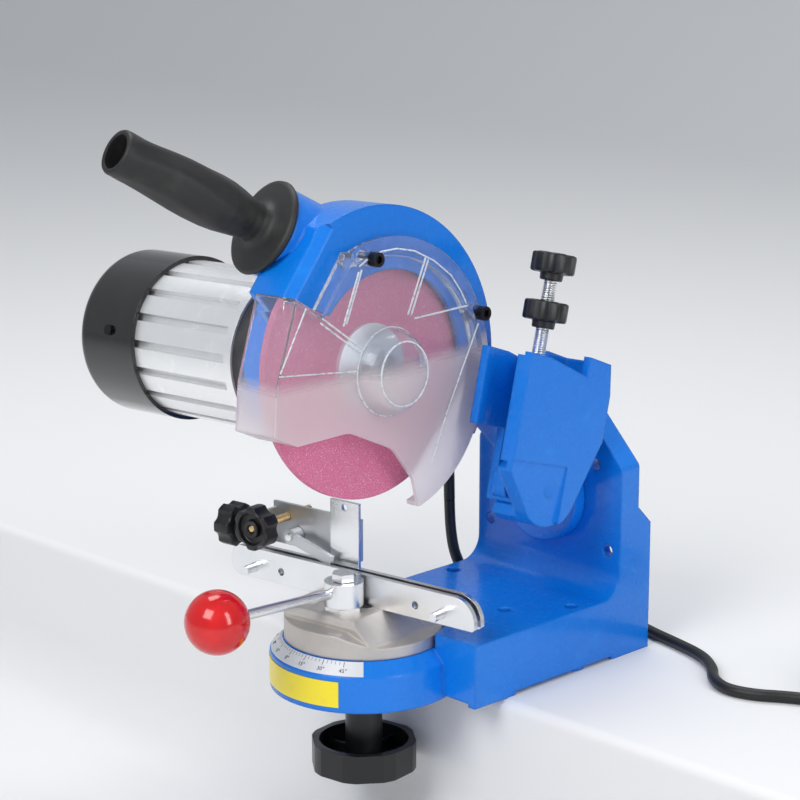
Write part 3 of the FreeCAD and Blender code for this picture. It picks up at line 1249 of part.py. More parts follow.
def guard_outline(x_at, depth, wall):
    """The guard's front view; wall moves every edge in by one sheet thickness."""
    corners = [("guard_left_top_y + %s" % wall, "guard_left_top_z - %s" % wall),
               ("guard_left_mid_y + %s" % wall, "guard_left_mid_z"),
               ("guard_left_low_y + %s" % wall, "guard_left_low_z"),
               ("guard_sill_left_y", "guard_sill_left_z"),
               ("guard_sill_mid_y", "guard_sill_mid_z", "guard_step * 3"),
               ("guard_sill_right_y", "guard_sill_right_z", "guard_step * 2"),
               ("guard_toe_y", "guard_toe_z"),
               ("guard_heel_y - %s" % wall, "guard_heel_z + %s" % wall),
               ("dome_y", "0"),
               ("guard_chord_y + %s" % wall, "guard_chord_z - %s" % wall),
               ("guard_notch_y + %s" % wall, "guard_notch_z - %s" % wall)]
    flat = slab(outline(HEAD, (x_at, 0, 0), "x", corners), depth)
    disc = rod(HEAD, (x_at, "dome_y", "dome_z"), "dome_radius - %s" % wall, depth, "x")
    keep = slab(outline(HEAD, (x_at, 0, 0), "x", [
        ("dome_y", "0"), ("guard_toe_y", "guard_toe_z"), ("guard_heel_y", "guard_heel_z - dome_radius"),
        ("dome_radius * 1.4", "guard_heel_z - dome_radius"), ("dome_radius * 1.4", "dome_radius * 1.2"),
        ("guard_chord_y + %s" % wall, "dome_radius * 1.2"),
        ("guard_chord_y + %s" % wall, "guard_chord_z - %s" % wall)]), depth)
    return join(flat, meet(disc, keep))


def make_guard():
    full = "guard_front - guard_back"
    outer = guard_outline("guard_back", full, "0")
    hollow = guard_outline("guard_back - plate_overlap", full + " - guard_wall + plate_overlap", "guard_wall")
    lip_x = "fender_front + seat_gap"
    behind_fender = slab(outline(HEAD, ("guard_back - plate_overlap", 0, 0), "x", [
        ("guard_left_top_y", "guard_left_top_z * 0.72"),
        ("guard_left_top_y", "fender_radius * 1.2"),
        ("fender_radius * 1.2", "fender_radius * 1.2"),
        ("fender_radius * 1.2", "fender_foot_z * 2"),
        ("guard_toe_y", "fender_foot_z * 2"),
        ("0", "0")]), lip_x + " - guard_back + plate_overlap")
    sill_way = block(HEAD, ("guard_back - plate_overlap", "guard_sill_left_y", "-dome_radius * 1.3"),
                     (full + " - guard_wall + plate_overlap", "guard_toe_y - guard_sill_left_y",
                      "dome_radius * 1.1"))
    shell = cut(outer, hollow, behind_fender, sill_way)
    rim = cut(rod(HEAD, (lip_x, "rim_y", "rim_z"), "rim_radius", "guard_wall", "x"),
              rod(HEAD, (lip_x, "dome_y", "dome_z"), "dome_radius - guard_wall", "guard_wall", "x"))
    lip = meet(rim, slab(outline(HEAD, (lip_x, 0, 0), "x", [
        ("guard_chord_y", "guard_chord_z * 0.6"), ("0", "0"), ("rim_radius * 1.4", "guard_heel_z"),
        ("rim_radius * 1.4", "rim_radius * 1.2"), ("guard_chord_y", "rim_radius * 1.2")]), "guard_wall"))
    solid = join(shell, lip)
    holes = []
    spacers = []
    screws = []
    for hole_y, hole_z in (("upper_screw_y", "upper_screw_z"), ("side_screw_y", "side_screw_z")):
        holes.append(rod(HEAD, ("0", hole_y, hole_z), "guard_spacer_radius + seat_gap",
                         "guard_front - guard_wall", "x"))
        holes.append(rod(HEAD, ("0", hole_y, hole_z), "guard_screw_radius + running_gap",
                         "guard_front + plate_overlap", "x"))
        spacer_x = lip_x
        length = "guard_front - guard_wall - (%s) - running_gap" % lip_x
        spacers.append(cut(rod(HEAD, (spacer_x, hole_y, hole_z), "guard_spacer_radius", length, "x"),
                           rod(HEAD, (spacer_x, hole_y, hole_z), "guard_screw_radius + running_gap",
                               length, "x")))
        start = "fender_front - fender_plate"
        shank = rod(HEAD, (start, hole_y, hole_z), "guard_screw_radius",
                    "guard_front + running_gap - (%s)" % start, "x")
        head = rod(HEAD, ("guard_front + running_gap", hole_y, hole_z), "guard_screw_head",
                   "guard_screw_head_length", "x")
        socket = prism(HEAD, ("guard_front + guard_screw_head_length * 0.5", hole_y, hole_z),
                       "guard_screw_head", "guard_screw_head_length", "x")
        screws.append(cut(join(shank, head), socket))
    node("wheel_guard", cut(solid, join(*holes)))
    node("guard_spacers", group(*spacers))
    node("guard_screws", group(*screws))


# ---------------------------------------------------------------- switch
def make_switch():
    low = "switch_w - switch_height / 2"
    left = "switch_x - switch_width / 2"
    bezel = block(ARM, (left, "arm_back + seat_gap / 2", low), ("switch_width", "switch_bezel",
                                                               "switch_height"))
    trunk = block(ARM, (left + " + switch_bezel + running_gap", "arm_back - switch_depth",
                        low + " + switch_bezel + running_gap"),
                  ("switch_width - 2 * switch_bezel - 2 * running_gap", "switch_depth + switch_bezel",
                   "switch_height - 2 * switch_bezel - 2 * running_gap"))
    room = block(ARM, ("switch_x - rocker_width / 2 - seat_gap", "arm_back - rocker_radius - seat_gap * 2",
                       "switch_w - rocker_length / 2 - seat_gap * 4"),
                 ("rocker_width + 2 * seat_gap", "rocker_radius * 2", "rocker_length + 8 * seat_gap"))
    stud_low = "switch_x - rocker_width / 2 - rocker_stud_length"
    stud_length = "rocker_width + 2 * rocker_stud_length"
    stud_holes = rod(ARM, (stud_low + " - seat_gap", "arm_back", "switch_w"),
                     "rocker_stud_radius + running_gap", stud_length + " + 2 * seat_gap", "x")
    node("switch_housing", cut(join(bezel, trunk), join(room, stud_holes)))
    rocker = rod(ARM, ("switch_x - rocker_width / 2", "arm_back", "switch_w"), "rocker_radius",
                 "rocker_width", "x")
    face = block(ARM, ("switch_x - rocker_width", "arm_back - rocker_radius * 0.5",
                       "switch_w - rocker_length / 2"),
                 ("2 * rocker_width", "rocker_radius * 0.5 + switch_bezel + plate_overlap * 2",
                  "rocker_length"))
    studs = rod(ARM, (stud_low, "arm_back", "switch_w"), "rocker_stud_radius", stud_length, "x")
    node("switch_rocker", join(meet(rocker, face), studs))


# ---------------------------------------------------------------- cord and plug
def cord_wire(points):
    """Straight runs joined by tangent arcs as large as the shorter run allows."""
    corners = [FreeCAD.Vector(*point) for point in points]
    edges = []
    start = corners[0]
    for index in range(1, len(corners) - 1):
        before = corners[index - 1] - corners[index]
        after = corners[index + 1] - corners[index]
        shorter = min(before.Length, after.Length)
        turn = math.pi - before.getAngle(after)
        radius = 0.45 * shorter / math.tan(turn / 2)
        print("cord radius %.0f mm, turn %.0f degrees" % (radius, math.degrees(turn)))
        before.normalize()
        after.normalize()
        first = corners[index] + before * (0.45 * shorter)
        last = corners[index] + after * (0.45 * shorter)
        bisector = (before + after).normalize()
        centre = corners[index] + bisector * (radius / math.cos(turn / 2))
        middle = centre - bisector * radius
        edges.append(Part.LineSegment(start, first).toShape())
        edges.append(Part.Arc(first, middle, last).toShape())
        start = last
    edges.append(Part.LineSegment(start, corners[-1]).toShape())
    return Part.Wire(edges)


def cord_tube(name, points):
    wire = cord_wire(points)
    heading = points[1][0] - points[0][0], points[1][1] - points[0][1], points[1][2] - points[0][2]
    circle = Part.Circle(FreeCAD.Vector(*points[0]), FreeCAD.Vector(*heading), value("cord_radius"))
    tube = wire.makePipeShell([Part.Wire(circle.toShape())], True, True)
    expected = math.pi * value("cord_radius") ** 2 * wire.Length
    print("%s: length %.0f mm, volume share %.4f" % (name, wire.Length, tube.Volume / expected))
    thing = doc.addObject("Part::Feature", name)
    thing.Shape = tube
    thing.Placement = FreeCAD.Placement()
    node(name, thing)


def world(frame, x, y, z):
    """A point of a frame, in the part's own frame."""
    marker = add("Part::Vertex")
    marker.setExpression("Placement", bind("%s * placement(vector(%s; %s; %s); rotation(vector(0;0;1); 0))"
                                           % (frame, x, y, z)))
    doc.recompute()
    place = marker.Placement.Base
    doc.removeObject(marker.Name)
    return place


def make_cord():
    gland_x = "(neck_left + fender_back) / 2"
    start = "neck_radius + running_gap"
    gland = join(rod(HEAD, (gland_x, start, 0), "gland_radius", "gland_length / 2", "y"),
                 rod(HEAD, (gland_x, start, 0), "gland_radius * 0.8", "gland_length", "y"),
                 rod(HEAD, (gland_x, start + " - cast_wall", 0), "gland_radius * 0.5", "cast_wall * 1.5", "y"))
    node("cord_gland", gland)
    exit_point = world(HEAD, gland_x, start + " + gland_length", "0")
    radius = value("cord_radius")
    x, y, z = exit_point
    drop = [(x, y, z), (x - 1, y + 20, z - 1), (x - 6, y + 39, z - 12), (x - 11, y + 51, z - 36),
            (-65, 15, 106), (-65, 16, 72)]
    cord_tube("cord_drop", drop)
    low = radius
    floor = [(-65, 16, 71.7), (-65, 16.65, 50), (-65, 24, 29), (-64, 40, 11), (-58, 60, low), (-49, 76, low),
             (-31, 86, low), (-8, 87, low), (18, 80, low), (44, 71, low), (70, 65.5, low), (92, 60, low),
             (109, 49, low), (121, 34, low), (136, 27, low), (152, 31, low), (166, 41, low),
             (181, 48.5, low), (199, 50.1, low)]
    cord_tube("cord_floor", floor)
    tail = [(243.3, 90, low), (243.3, 111.4, low), (238.4, 124.4, low + 0.6), (229.2, 134.8, low + 1.7),
            (216.9, 141.3, low + 2.9), (203, 143, low + 4.2)]
    cord_tube("cord_tail", tail)
    band = "cord_radius * 2 * coil_turns_wide"
    height = "cord_radius * 2 * coil_turns_high"
    ring = rod(WORLD, ("coil_x", "coil_y", 0), "coil_turn_radius + (%s) / 2" % band, height)
    hole = rod(WORLD, ("coil_x", "coil_y", "-plate_overlap"), "coil_turn_radius - (%s) / 2" % band,
               height + " + 2 * plate_overlap")
    node("cord_coil", cut(ring, hole))
    middle = "plug_thickness / 2"
    relief = add("Part::Cone")
    relief.setExpression("Radius1", bind("cord_radius * 1.1"))
    relief.setExpression("Radius2", bind("plug_relief_radius"))
    relief.setExpression("Height", bind("plug_relief_length"))
    put(relief, PLUG, (0, 0, 0), ALONG["-x"])
    shell_x = "-plug_relief_length - plug_length"
    shell = block(PLUG, (shell_x, "-plug_width / 2", "-plug_thickness / 2"),
                  ("plug_length", "plug_width", "plug_thickness"))
    corner = add("Part::Fillet")
    corner.Base = shell
    doc.recompute()
    corner.Edges = [(index + 1, value("plug_thickness") * 0.3, value("plug_thickness") * 0.3)
                    for index in range(len(shell.Shape.Edges))]
    node("plug", join(relief, corner))
    pins = [rod(PLUG, (shell_x + " - plug_pin_length", side + "plug_pin_spacing / 2", 0), "plug_pin_radius",
                "plug_pin_length", "x") for side in ("-", "")]
    node("plug_pins", group(*pins))


make_base()
make_turntable()
make_rails()
make_clamp()
make_stop()
make_tilt_bracket()
make_head()
make_depth_stop()
make_handle()
make_motor()
make_wheel()
make_guard()
make_switch()
make_cord()
doc.recompute()

# Every object must have been built, and every sub-part must be a sound solid.
broken = [thing.Name for thing in doc.Objects if "Invalid" in thing.State or "Error" in thing.State]
if broken:
    raise RuntimeError("objects failed: " + ", ".join(broken))
for thing in nodes:
    if thing.Shape.isNull() or not thing.Shape.isValid() or not thing.Shape.Solids:
        raise RuntimeError("no sound solid: " + thing.Label)

os.makedirs("parts", exist_ok=True)
for thing in nodes:
    thing.Shape.exportStep("parts/%s.step" % thing.Label)
    print(thing.Label, len(thing.Shape.Solids), "solids", round(thing.Shape.Volume), "mm3")
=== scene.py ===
"""Looks of the bench chain sharpener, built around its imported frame."""

import math

import bmesh
import bpy
from mathutils import Matrix, Vector


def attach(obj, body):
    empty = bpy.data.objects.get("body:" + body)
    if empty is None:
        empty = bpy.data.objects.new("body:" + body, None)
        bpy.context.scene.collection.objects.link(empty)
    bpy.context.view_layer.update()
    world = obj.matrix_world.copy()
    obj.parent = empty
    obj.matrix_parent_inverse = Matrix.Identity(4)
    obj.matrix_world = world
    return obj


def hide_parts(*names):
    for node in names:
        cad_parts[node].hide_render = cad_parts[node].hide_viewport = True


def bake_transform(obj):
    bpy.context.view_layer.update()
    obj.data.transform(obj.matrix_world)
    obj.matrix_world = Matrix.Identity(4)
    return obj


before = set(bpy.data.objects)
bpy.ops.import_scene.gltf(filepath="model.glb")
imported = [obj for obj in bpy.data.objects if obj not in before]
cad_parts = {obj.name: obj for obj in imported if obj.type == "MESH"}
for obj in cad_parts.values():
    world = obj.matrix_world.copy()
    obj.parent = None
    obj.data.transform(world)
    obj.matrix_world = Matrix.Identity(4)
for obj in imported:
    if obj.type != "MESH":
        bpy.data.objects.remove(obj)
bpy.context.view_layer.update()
scene = bpy.context.scene
scene.view_settings.view_transform = "Standard"
MM = 0.001


# ---------------------------------------------------------------- places on the machine
def shift(x, y, z):
    return Matrix.Translation(Vector((x, y, z)) * MM)


def turn(degrees, axis):
    return Matrix.Rotation(math.radians(degrees), 4, axis)


BENCH = shift(-20, -98, 0)
VISE = BENCH @ turn(7.5, "Z")
TILT = BENCH @ shift(20, 0, 88) @ turn(-3, "Y")
ARM = TILT @ shift(0, 76, 18.4) @ turn(-16.5, "X")
HEAD = TILT @ shift(-15.2, 1, 92.4)
GRIP = HEAD @ shift(-30, -38, 77) @ turn(-10.8, "Z") @ turn(60.3, "X")
TO_X = turn(90, "Y")
TO_Y = turn(-90, "X")
TO_MINUS_X = turn(-90, "Y")


# ---------------------------------------------------------------- camera
CAMERA_AZIMUTH, CAMERA_ELEVATION = 45.3, 14.3
CAMERA_PLACE = (962.3, -1041.7, 507.9)
CAMERA_LENS = 117


def set_camera():
    azimuth, elevation = math.radians(CAMERA_AZIMUTH), math.radians(CAMERA_ELEVATION)
    across = Vector((math.cos(azimuth), math.sin(azimuth), 0))
    back = Vector((math.sin(azimuth) * math.cos(elevation), -math.cos(azimuth) * math.cos(elevation),
                   math.sin(elevation)))
    up = back.cross(across)
    data = bpy.data.cameras.new("camera")
    data.sensor_width = 36
    data.lens = CAMERA_LENS
    data.clip_start = 0.01
    camera = bpy.data.objects.new("camera", data)
    scene.collection.objects.link(camera)
    turned = Matrix((across, up, back)).transposed().to_4x4()
    camera.matrix_world = Matrix.Translation(Vector(CAMERA_PLACE) * MM) @ turned
    scene.camera = camera


set_camera()


# ---------------------------------------------------------------- finishes
class Signal:
    """A socket of a finish; sums and products of signals add their Math nodes."""

    def __init__(self, finish, socket):
        self.finish = finish
        self.socket = socket

    def _math(self, operation, first, second):
        return self.finish.add("Math", {0: first, 1: second}, operation=operation)

    def __add__(self, other):
        return self._math("ADD", self, other)

    def __radd__(self, other):
        return self._math("ADD", other, self)

    def __sub__(self, other):
        return self._math("SUBTRACT", self, other)

    def __mul__(self, other):
        return self._math("MULTIPLY", self, other)

    def __rmul__(self, other):
        return self._math("MULTIPLY", other, self)


class Finish:
    """A material under construction: constants sit on the shader, signals feed it."""

    def __init__(self, name, constants):
        self.material = bpy.data.materials.new(name)
        self.material.use_nodes = True
        self.tree = self.material.node_tree
        self.shader = self.tree.nodes["Principled BSDF"]
        for socket, number in constants.items():
            self.shader.inputs[socket].default_value = number
        self.place = Signal(self, self.tree.nodes.new("ShaderNodeTexCoord").outputs["Object"])

    def add(self, kind, inputs, output=0, **settings):
        """A node with its settings; inputs are numbers or signals."""
        node = self.tree.nodes.new("ShaderNode" + kind)
        for name, setting in settings.items():
            setattr(node, name, setting)
        for name, source in inputs.items():
            if isinstance(source, Signal):
                self.tree.links.new(source.socket, node.inputs[name])
            else:
                node.inputs[name].default_value = source
        return Signal(self, node.outputs[output])

    def noise(self, scale, detail=3.0, roughness=0.5, stretch=None):
        place = self.place
        if stretch:
            place = self.add("Mapping", {"Vector": place, "Scale": stretch})
        return self.add("TexNoise", {"Vector": place, "Scale": scale, "Detail": detail,
                                     "Roughness": roughness})

    def patches(self, scale, low, high, detail=3.0):
        """Noise sharpened to patches: 0 outside them, 1 inside."""
        return self.add("MapRange", {"Value": self.noise(scale, detail), "From Min": low,
                                     "From Max": high})

    def blend(self, factor, first, second):
        """A colour between two colours."""
        return self.add("Mix", {0: factor, 6: first, 7: second}, output=2, data_type="RGBA")

    def between(self, factor, low, high):
        """A number between two numbers."""
        return factor * (high - low) + low

    def feed(self, socket, signal):
        self.tree.links.new(signal.socket, self.shader.inputs[socket])

    def veil(self, constants, share):
        """A second shader laid over the first where `share` is high."""
        second = self.tree.nodes.new("ShaderNodeBsdfPrincipled")
        for socket, number in constants.items():
            second.inputs[socket].default_value = number
        mix = self.tree.nodes.new("ShaderNodeMixShader")
        self.tree.links.new(share.socket, mix.inputs[0])
        self.tree.links.new(self.shader.outputs[0], mix.inputs[1])
        self.tree.links.new(second.outputs[0], mix.inputs[2])
        self.tree.links.new(mix.outputs[0], self.tree.nodes["Material Output"].inputs["Surface"])

    def relief(self, height, distance, strength=1.0, rounding=0.0, samples=6):
        """Bump from a height signal, over edges that are rounded by `rounding` metres."""
        inputs = {"Height": height, "Distance": distance, "Strength": strength}
        if rounding:
            inputs["Normal"] = self.add("Bevel", {"Radius": rounding}, samples=samples)
        self.feed("Normal", self.add("Bump", inputs))


def rgb(red, green, blue):
    return (red, green, blue, 1.0)


def blue_enamel():
    f = Finish("blue_enamel", {"Roughness": 0.24, "Coat Weight": 0.28, "Coat Roughness": 0.07,
                               "Specular IOR Level": 0.32})
    tone = f.noise(9.0, 2.0)
    edge = f.patches(60.0, 0.62, 0.74)
    body = f.blend(tone, rgb(0.001, 0.158, 0.66), rgb(0.003, 0.212, 0.79))
    f.feed("Base Color", f.blend(edge * 0.25, body, rgb(0.006, 0.28, 0.86)))
    f.feed("Roughness", f.between(f.noise(140.0, 3.0), 0.16, 0.36))
    peel = f.noise(620.0, 2.0) * 0.5 + f.noise(70.0, 3.0) * 0.5
    f.relief(peel, 0.0006, 0.55, rounding=0.0022, samples=8)
    return f.material


def bare_casting():
    f = Finish("bare_casting", {"Metallic": 0.9})
    grit = f.noise(1500.0, 4.0, 0.7)
    stain = f.noise(35.0, 4.0, 0.6)
    f.feed("Base Color", f.blend(stain, rgb(0.47, 0.44, 0.41), rgb(0.72, 0.69, 0.65)))
    f.feed("Roughness", f.between(grit, 0.36, 0.66))
    f.relief(grit * 0.7 + f.noise(240.0, 3.0) * 0.6, 0.0005, 0.7, rounding=0.0018)
    return f.material


METAL_FLECK = 900.0
ALONG_X = (1.0, 30.0, 30.0)


def metal(name, dark, light, low, high, scratch=(60.0, 60.0, 1.0), depth=0.0001, rounding=0.0004,
          metallic=1.0):
    """Bright or brushed metal: long fine scratches, faint cloudiness and eased edges."""
    f = Finish(name, {"Metallic": metallic})
    lines = f.noise(METAL_FLECK, 3.0, 0.6, stretch=scratch)
    cloud = f.noise(60.0, 3.0)
    f.feed("Base Color", f.blend(cloud * 0.7 + lines * 0.3, dark, light))
    f.feed("Roughness", f.between(lines * 0.6 + cloud * 0.4, low, high))
    f.relief(lines, depth, 0.4, rounding=rounding, samples=4)
    return f.material


def moulded(name, dark, light, low, high, grain=1800.0, depth=0.00012, rounding=0.0006, coat=0.0):
    """Moulded plastic or rubber: a fine spark-eroded grain and paler rubbed patches."""
    f = Finish(name, {"Coat Weight": coat, "Coat Roughness": 0.05})
    rubbed = f.patches(55.0, 0.52, 0.72)
    fine = f.noise(grain, 3.0, 0.6)
    f.feed("Base Color", f.blend(rubbed, dark, light))
    f.feed("Roughness", f.between(fine * 0.5 + rubbed * 0.5, low, high))
    f.relief(fine, depth, 0.5, rounding=rounding, samples=4)
    return f.material


def abrasive():
    f = Finish("abrasive", {"Specular IOR Level": 0.35})
    grain = f.add("TexVoronoi", {"Vector": f.place, "Scale": 1500.0})
    coarse = f.noise(900.0, 5.0, 0.8)
    spark = f.patches(1700.0, 0.60, 0.72, 1.0)
    body = f.blend(coarse, rgb(0.58, 0.092, 0.215), rgb(0.92, 0.30, 0.48))
    f.feed("Base Color", f.blend(spark * 0.8, body, rgb(0.96, 0.72, 0.78)))
    f.feed("Roughness", f.between(coarse, 0.62, 0.95))
    f.relief(grain * 0.6 + coarse * 0.8, 0.0006, 0.9, rounding=0.0008)
    return f.material


FROST_LINE = (0.186, 0.178)
TOE_LINE = (-0.2045, -0.1985)


def clear_plastic():
    """Clear moulded sheet: frosted below, milky at its lower right edge, with fine moulding ripple."""
    f = Finish("clear_plastic", {"Transmission Weight": 0.94, "IOR": 1.32, "Specular IOR Level": 0.6})
    height = f.add("SeparateXYZ", {"Vector": f.place}, output=2)
    deep = f.add("SeparateXYZ", {"Vector": f.place}, output=1)
    frost = f.add("MapRange", {"Value": height, "From Min": FROST_LINE[0], "From Max": FROST_LINE[1]})
    toe = f.add("MapRange", {"Value": deep - height, "From Min": TOE_LINE[0], "From Max": TOE_LINE[1]})
    ripple = f.noise(30.0, 2.0)
    f.feed("Base Color", f.blend(frost, rgb(0.93, 0.96, 1.0), rgb(0.95, 0.88, 0.91)))
    f.feed("Roughness", f.between(frost * 0.85 + ripple * 0.15, 0.02, 0.34))
    f.relief(ripple, 0.0008, 0.25, rounding=0.0008, samples=4)
    f.veil({"Roughness": 0.6, "Transmission Weight": 0.3, "Base Color": rgb(0.93, 0.88, 0.90)},
           frost * 0.4 + toe * 0.45)
    return f.material


def scale_plate():
    f = Finish("scale_plate", {"Metallic": 0.35})
    brushed = f.noise(800.0, 2.0, stretch=(1.0, 1.0, 20.0))
    f.feed("Base Color", f.blend(brushed, rgb(0.66, 0.69, 0.73), rgb(0.84, 0.86, 0.88)))
    f.feed("Roughness", f.between(brushed, 0.28, 0.5))
    f.relief(brushed, 0.00005, 0.4)
    return f.material


def label_yellow():
    f = Finish("label_yellow", {"Coat Weight": 0.4, "Coat Roughness": 0.12})
    worn = f.patches(120.0, 0.55, 0.8)
    f.feed("Base Color", f.blend(worn, rgb(0.90, 0.74, 0.01), rgb(0.80, 0.66, 0.05)))
    f.feed("Roughness", f.between(f.noise(400.0), 0.28, 0.5))
    f.relief(f.noise(90.0), 0.0002, 0.4)
    return f.material


# pale, half-clear finish for the guard's lines and the cover's rings: a painted highlight, white
# whatever the light
def frosted_line():
    f = Finish("frosted_line", {"Transmission Weight": 0.35, "IOR": 1.3})
    cloud = f.noise(300.0)
    f.feed("Base Color", f.blend(cloud, rgb(0.80, 0.86, 0.93), rgb(0.95, 0.97, 1.0)))
    f.feed("Roughness", f.between(cloud, 0.18, 0.4))
    f.relief(cloud, 0.0001, 0.3)
    return f.material


def print_black():
    f = Finish("print_black", {})
    f.feed("Base Color", f.blend(f.noise(500.0), rgb(0.02, 0.02, 0.025), rgb(0.05, 0.05, 0.055)))
    f.feed("Roughness", f.between(f.noise(900.0), 0.4, 0.6))
    return f.material


FINISH = {
    "blue_enamel": blue_enamel(),
    "bare_casting": bare_casting(),
    "scale_plate": scale_plate(),
    "label_yellow": label_yellow(),
    "plated_steel": metal("plated_steel", rgb(0.74, 0.76, 0.78), rgb(0.93, 0.93, 0.94), 0.08, 0.24),
    "zinc_sheet": metal("zinc_sheet", rgb(0.45, 0.47, 0.49), rgb(0.76, 0.77, 0.78), 0.22, 0.45,
                        depth=0.0002),
    "yellow_zinc": metal("yellow_zinc", rgb(0.60, 0.40, 0.16), rgb(0.85, 0.66, 0.34), 0.18, 0.36),
    "spring_steel": metal("spring_steel", rgb(0.22, 0.22, 0.23), rgb(0.42, 0.42, 0.43), 0.25, 0.45),
    "black_plastic": moulded("black_plastic", rgb(0.008, 0.008, 0.009), rgb(0.022, 0.022, 0.024),
                             0.28, 0.5),
    "grip_rubber": moulded("grip_rubber", rgb(0.011, 0.011, 0.011), rgb(0.028, 0.027, 0.026), 0.42, 0.68,
                           grain=1300.0, depth=0.0003),
    "cap_black": moulded("cap_black", rgb(0.004, 0.004, 0.004), rgb(0.008, 0.008, 0.009), 0.10, 0.2,
                         depth=0.00004, rounding=0.001, coat=0.6),
    "ring_grey": moulded("ring_grey", rgb(0.03, 0.03, 0.033), rgb(0.06, 0.06, 0.064), 0.35, 0.55),
    "motor_aluminium": metal("motor_aluminium", rgb(0.86, 0.87, 0.88), rgb(0.97, 0.97, 0.97), 0.16, 0.34,
                             scratch=ALONG_X, depth=0.00015, rounding=0.0006, metallic=0.6),
    "ball_red": moulded("ball_red", rgb(0.62, 0.004, 0.006), rgb(0.75, 0.008, 0.01), 0.10, 0.2,
                        depth=0.00003, coat=0.35),
    "switch_red": moulded("switch_red", rgb(0.50, 0.004, 0.006), rgb(0.62, 0.01, 0.01), 0.16, 0.3,
                          depth=0.00004, coat=0.4),
    "abrasive": abrasive(),
    "clear_plastic": clear_plastic(),
    "black_screws": metal("black_screws", rgb(0.02, 0.02, 0.022), rgb(0.06, 0.06, 0.065), 0.3, 0.5),
    "motor_steel": metal("motor_steel", rgb(0.42, 0.43, 0.45), rgb(0.66, 0.67, 0.68), 0.2, 0.38,
                         scratch=ALONG_X),
    "cord_black": moulded("cord_black", rgb(0.006, 0.006, 0.006), rgb(0.016, 0.016, 0.016), 0.38, 0.6,
                          grain=700.0, depth=0.0002),
    "pin_brass": metal("pin_brass", rgb(0.62, 0.44, 0.16), rgb(0.84, 0.66, 0.34), 0.14, 0.3),
}


def dress_cad():
    """Give every solid of the frame the finish of its own slot."""
    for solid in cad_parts.values():
        key = solid.data.materials[0].name.split(".")[0]
        solid.data.materials.clear()
        solid.data.materials.append(FINISH[key])


dress_cad()


# ---------------------------------------------------------------- making pieces
def finish_mesh(name, mesh, body, slot, replaces=(), material=None, angle=38.0):
    """Close seams, turn faces outwards, shade by angle and set the piece on its body."""
    work = bmesh.new()
    work.from_mesh(mesh)
    bmesh.ops.remove_doubles(work, verts=work.verts, dist=1e-6)
    bmesh.ops.recalc_face_normals(work, faces=work.faces)
    work.to_mesh(mesh)
    work.free()
    mesh.polygons.foreach_set("use_smooth", [True] * len(mesh.polygons))
    mesh.set_sharp_from_angle(angle=math.radians(angle))
    mesh.materials.clear()
    mesh.materials.append(material or FINISH[slot])
    piece = bpy.data.objects.new(name, mesh)
    scene.collection.objects.link(piece)
    if body:
        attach(piece, body)
    if replaces:
        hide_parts(*replaces)
    return piece


def mesh_from(name, corners, faces, at):
    mesh = bpy.data.meshes.new(name)
    mesh.from_pydata([at @ (Vector(corner) * MM) for corner in corners], [], faces)
    return mesh


def rings_to_faces(count, segments, closed):
    """Faces between rings of corners that lie one after another."""
    faces = []
    for ring in range(count if closed else count - 1):
        low, high = ring * segments, (ring + 1) % count * segments
        for k in range(segments):
            j = (k + 1) % segments
            faces.append((low + k, low + j, high + j, high + k))
    return faces


def turned(profile, segments=64, closed=True, warp=None):
    """Corners and faces of a turned shape; warp may move a point by its angle and height."""
    corners = []
    for radius, height in profile:
        for k in range(segments):
            angle = 2 * math.pi * k / segments
            r = warp(radius, height, angle) if warp else radius
            corners.append((r * math.cos(angle), r * math.sin(angle), height))
    return corners, rings_to_faces(len(profile), segments, closed)


LOBES = 6
LOBE_SOFTNESS = 0.9


def lobe_radius(radius, cut, angle):
    """The rim of a star knob: a circle with a round bite between each pair of lobes."""
    step = 2 * math.pi / LOBES
    away = (angle + step / 2) % step - step / 2
    centre = radius + cut * 0.62
    reach = cut * cut - (centre * math.sin(away)) ** 2
    if reach <= 0:
        return radius
    bite = centre * math.cos(away) - math.sqrt(reach)
    both = math.exp(-radius / LOBE_SOFTNESS) + math.exp(-bite / LOBE_SOFTNESS)
    return -math.log(both) * LOBE_SOFTNESS


def star_knob(name, at, body, replaces, radius=12.5, height=11.0, hub=4.0, bore=2.5, cut=4.5,
              hub_radius=6.0, cup=3.2):
    """A moulded star knob: eased lobes, a cupped face with a raised boss, and a hub behind."""
    segments = 120
    rows = [("round", bore, 0.5), ("round", bore + 0.9, 0.0), ("round", hub_radius - 1.4, 0.0),
            ("round", hub_radius - 1.0, 0.4), ("round", hub_radius - 0.8, cup),
            ("round", radius * 0.66, cup), ("round", radius * 0.70, cup - 0.4),
            ("round", radius * 0.72, 0.5), ("round", radius * 0.74, 0.1),
            ("star", 1.5, 0.0), ("star", 0.6, 0.25), ("star", 0.15, 0.75), ("star", 0.0, 1.5),
            ("star", 0.0, height - 1.5), ("star", 0.15, height - 0.75), ("star", 0.6, height - 0.25),
            ("star", 1.5, height), ("round", hub_radius + 0.6, height),
            ("round", hub_radius + 0.1, height + 0.5), ("round", hub_radius - 0.1, height + hub - 0.5),
            ("round", hub_radius - 0.6, height + hub), ("round", bore, height + hub)]
    corners = []
    for kind, size, level in rows:
        for k in range(segments):
            angle = 2 * math.pi * k / segments
            r = size if kind == "round" else lobe_radius(radius, cut, angle) - size
            corners.append((r * math.cos(angle), r * math.sin(angle), level))
    mesh = mesh_from(name, corners, rings_to_faces(len(rows), segments, True), at)
    return finish_mesh(name, mesh, body, "black_plastic", replaces)


THREAD_DEPTH = 0.42


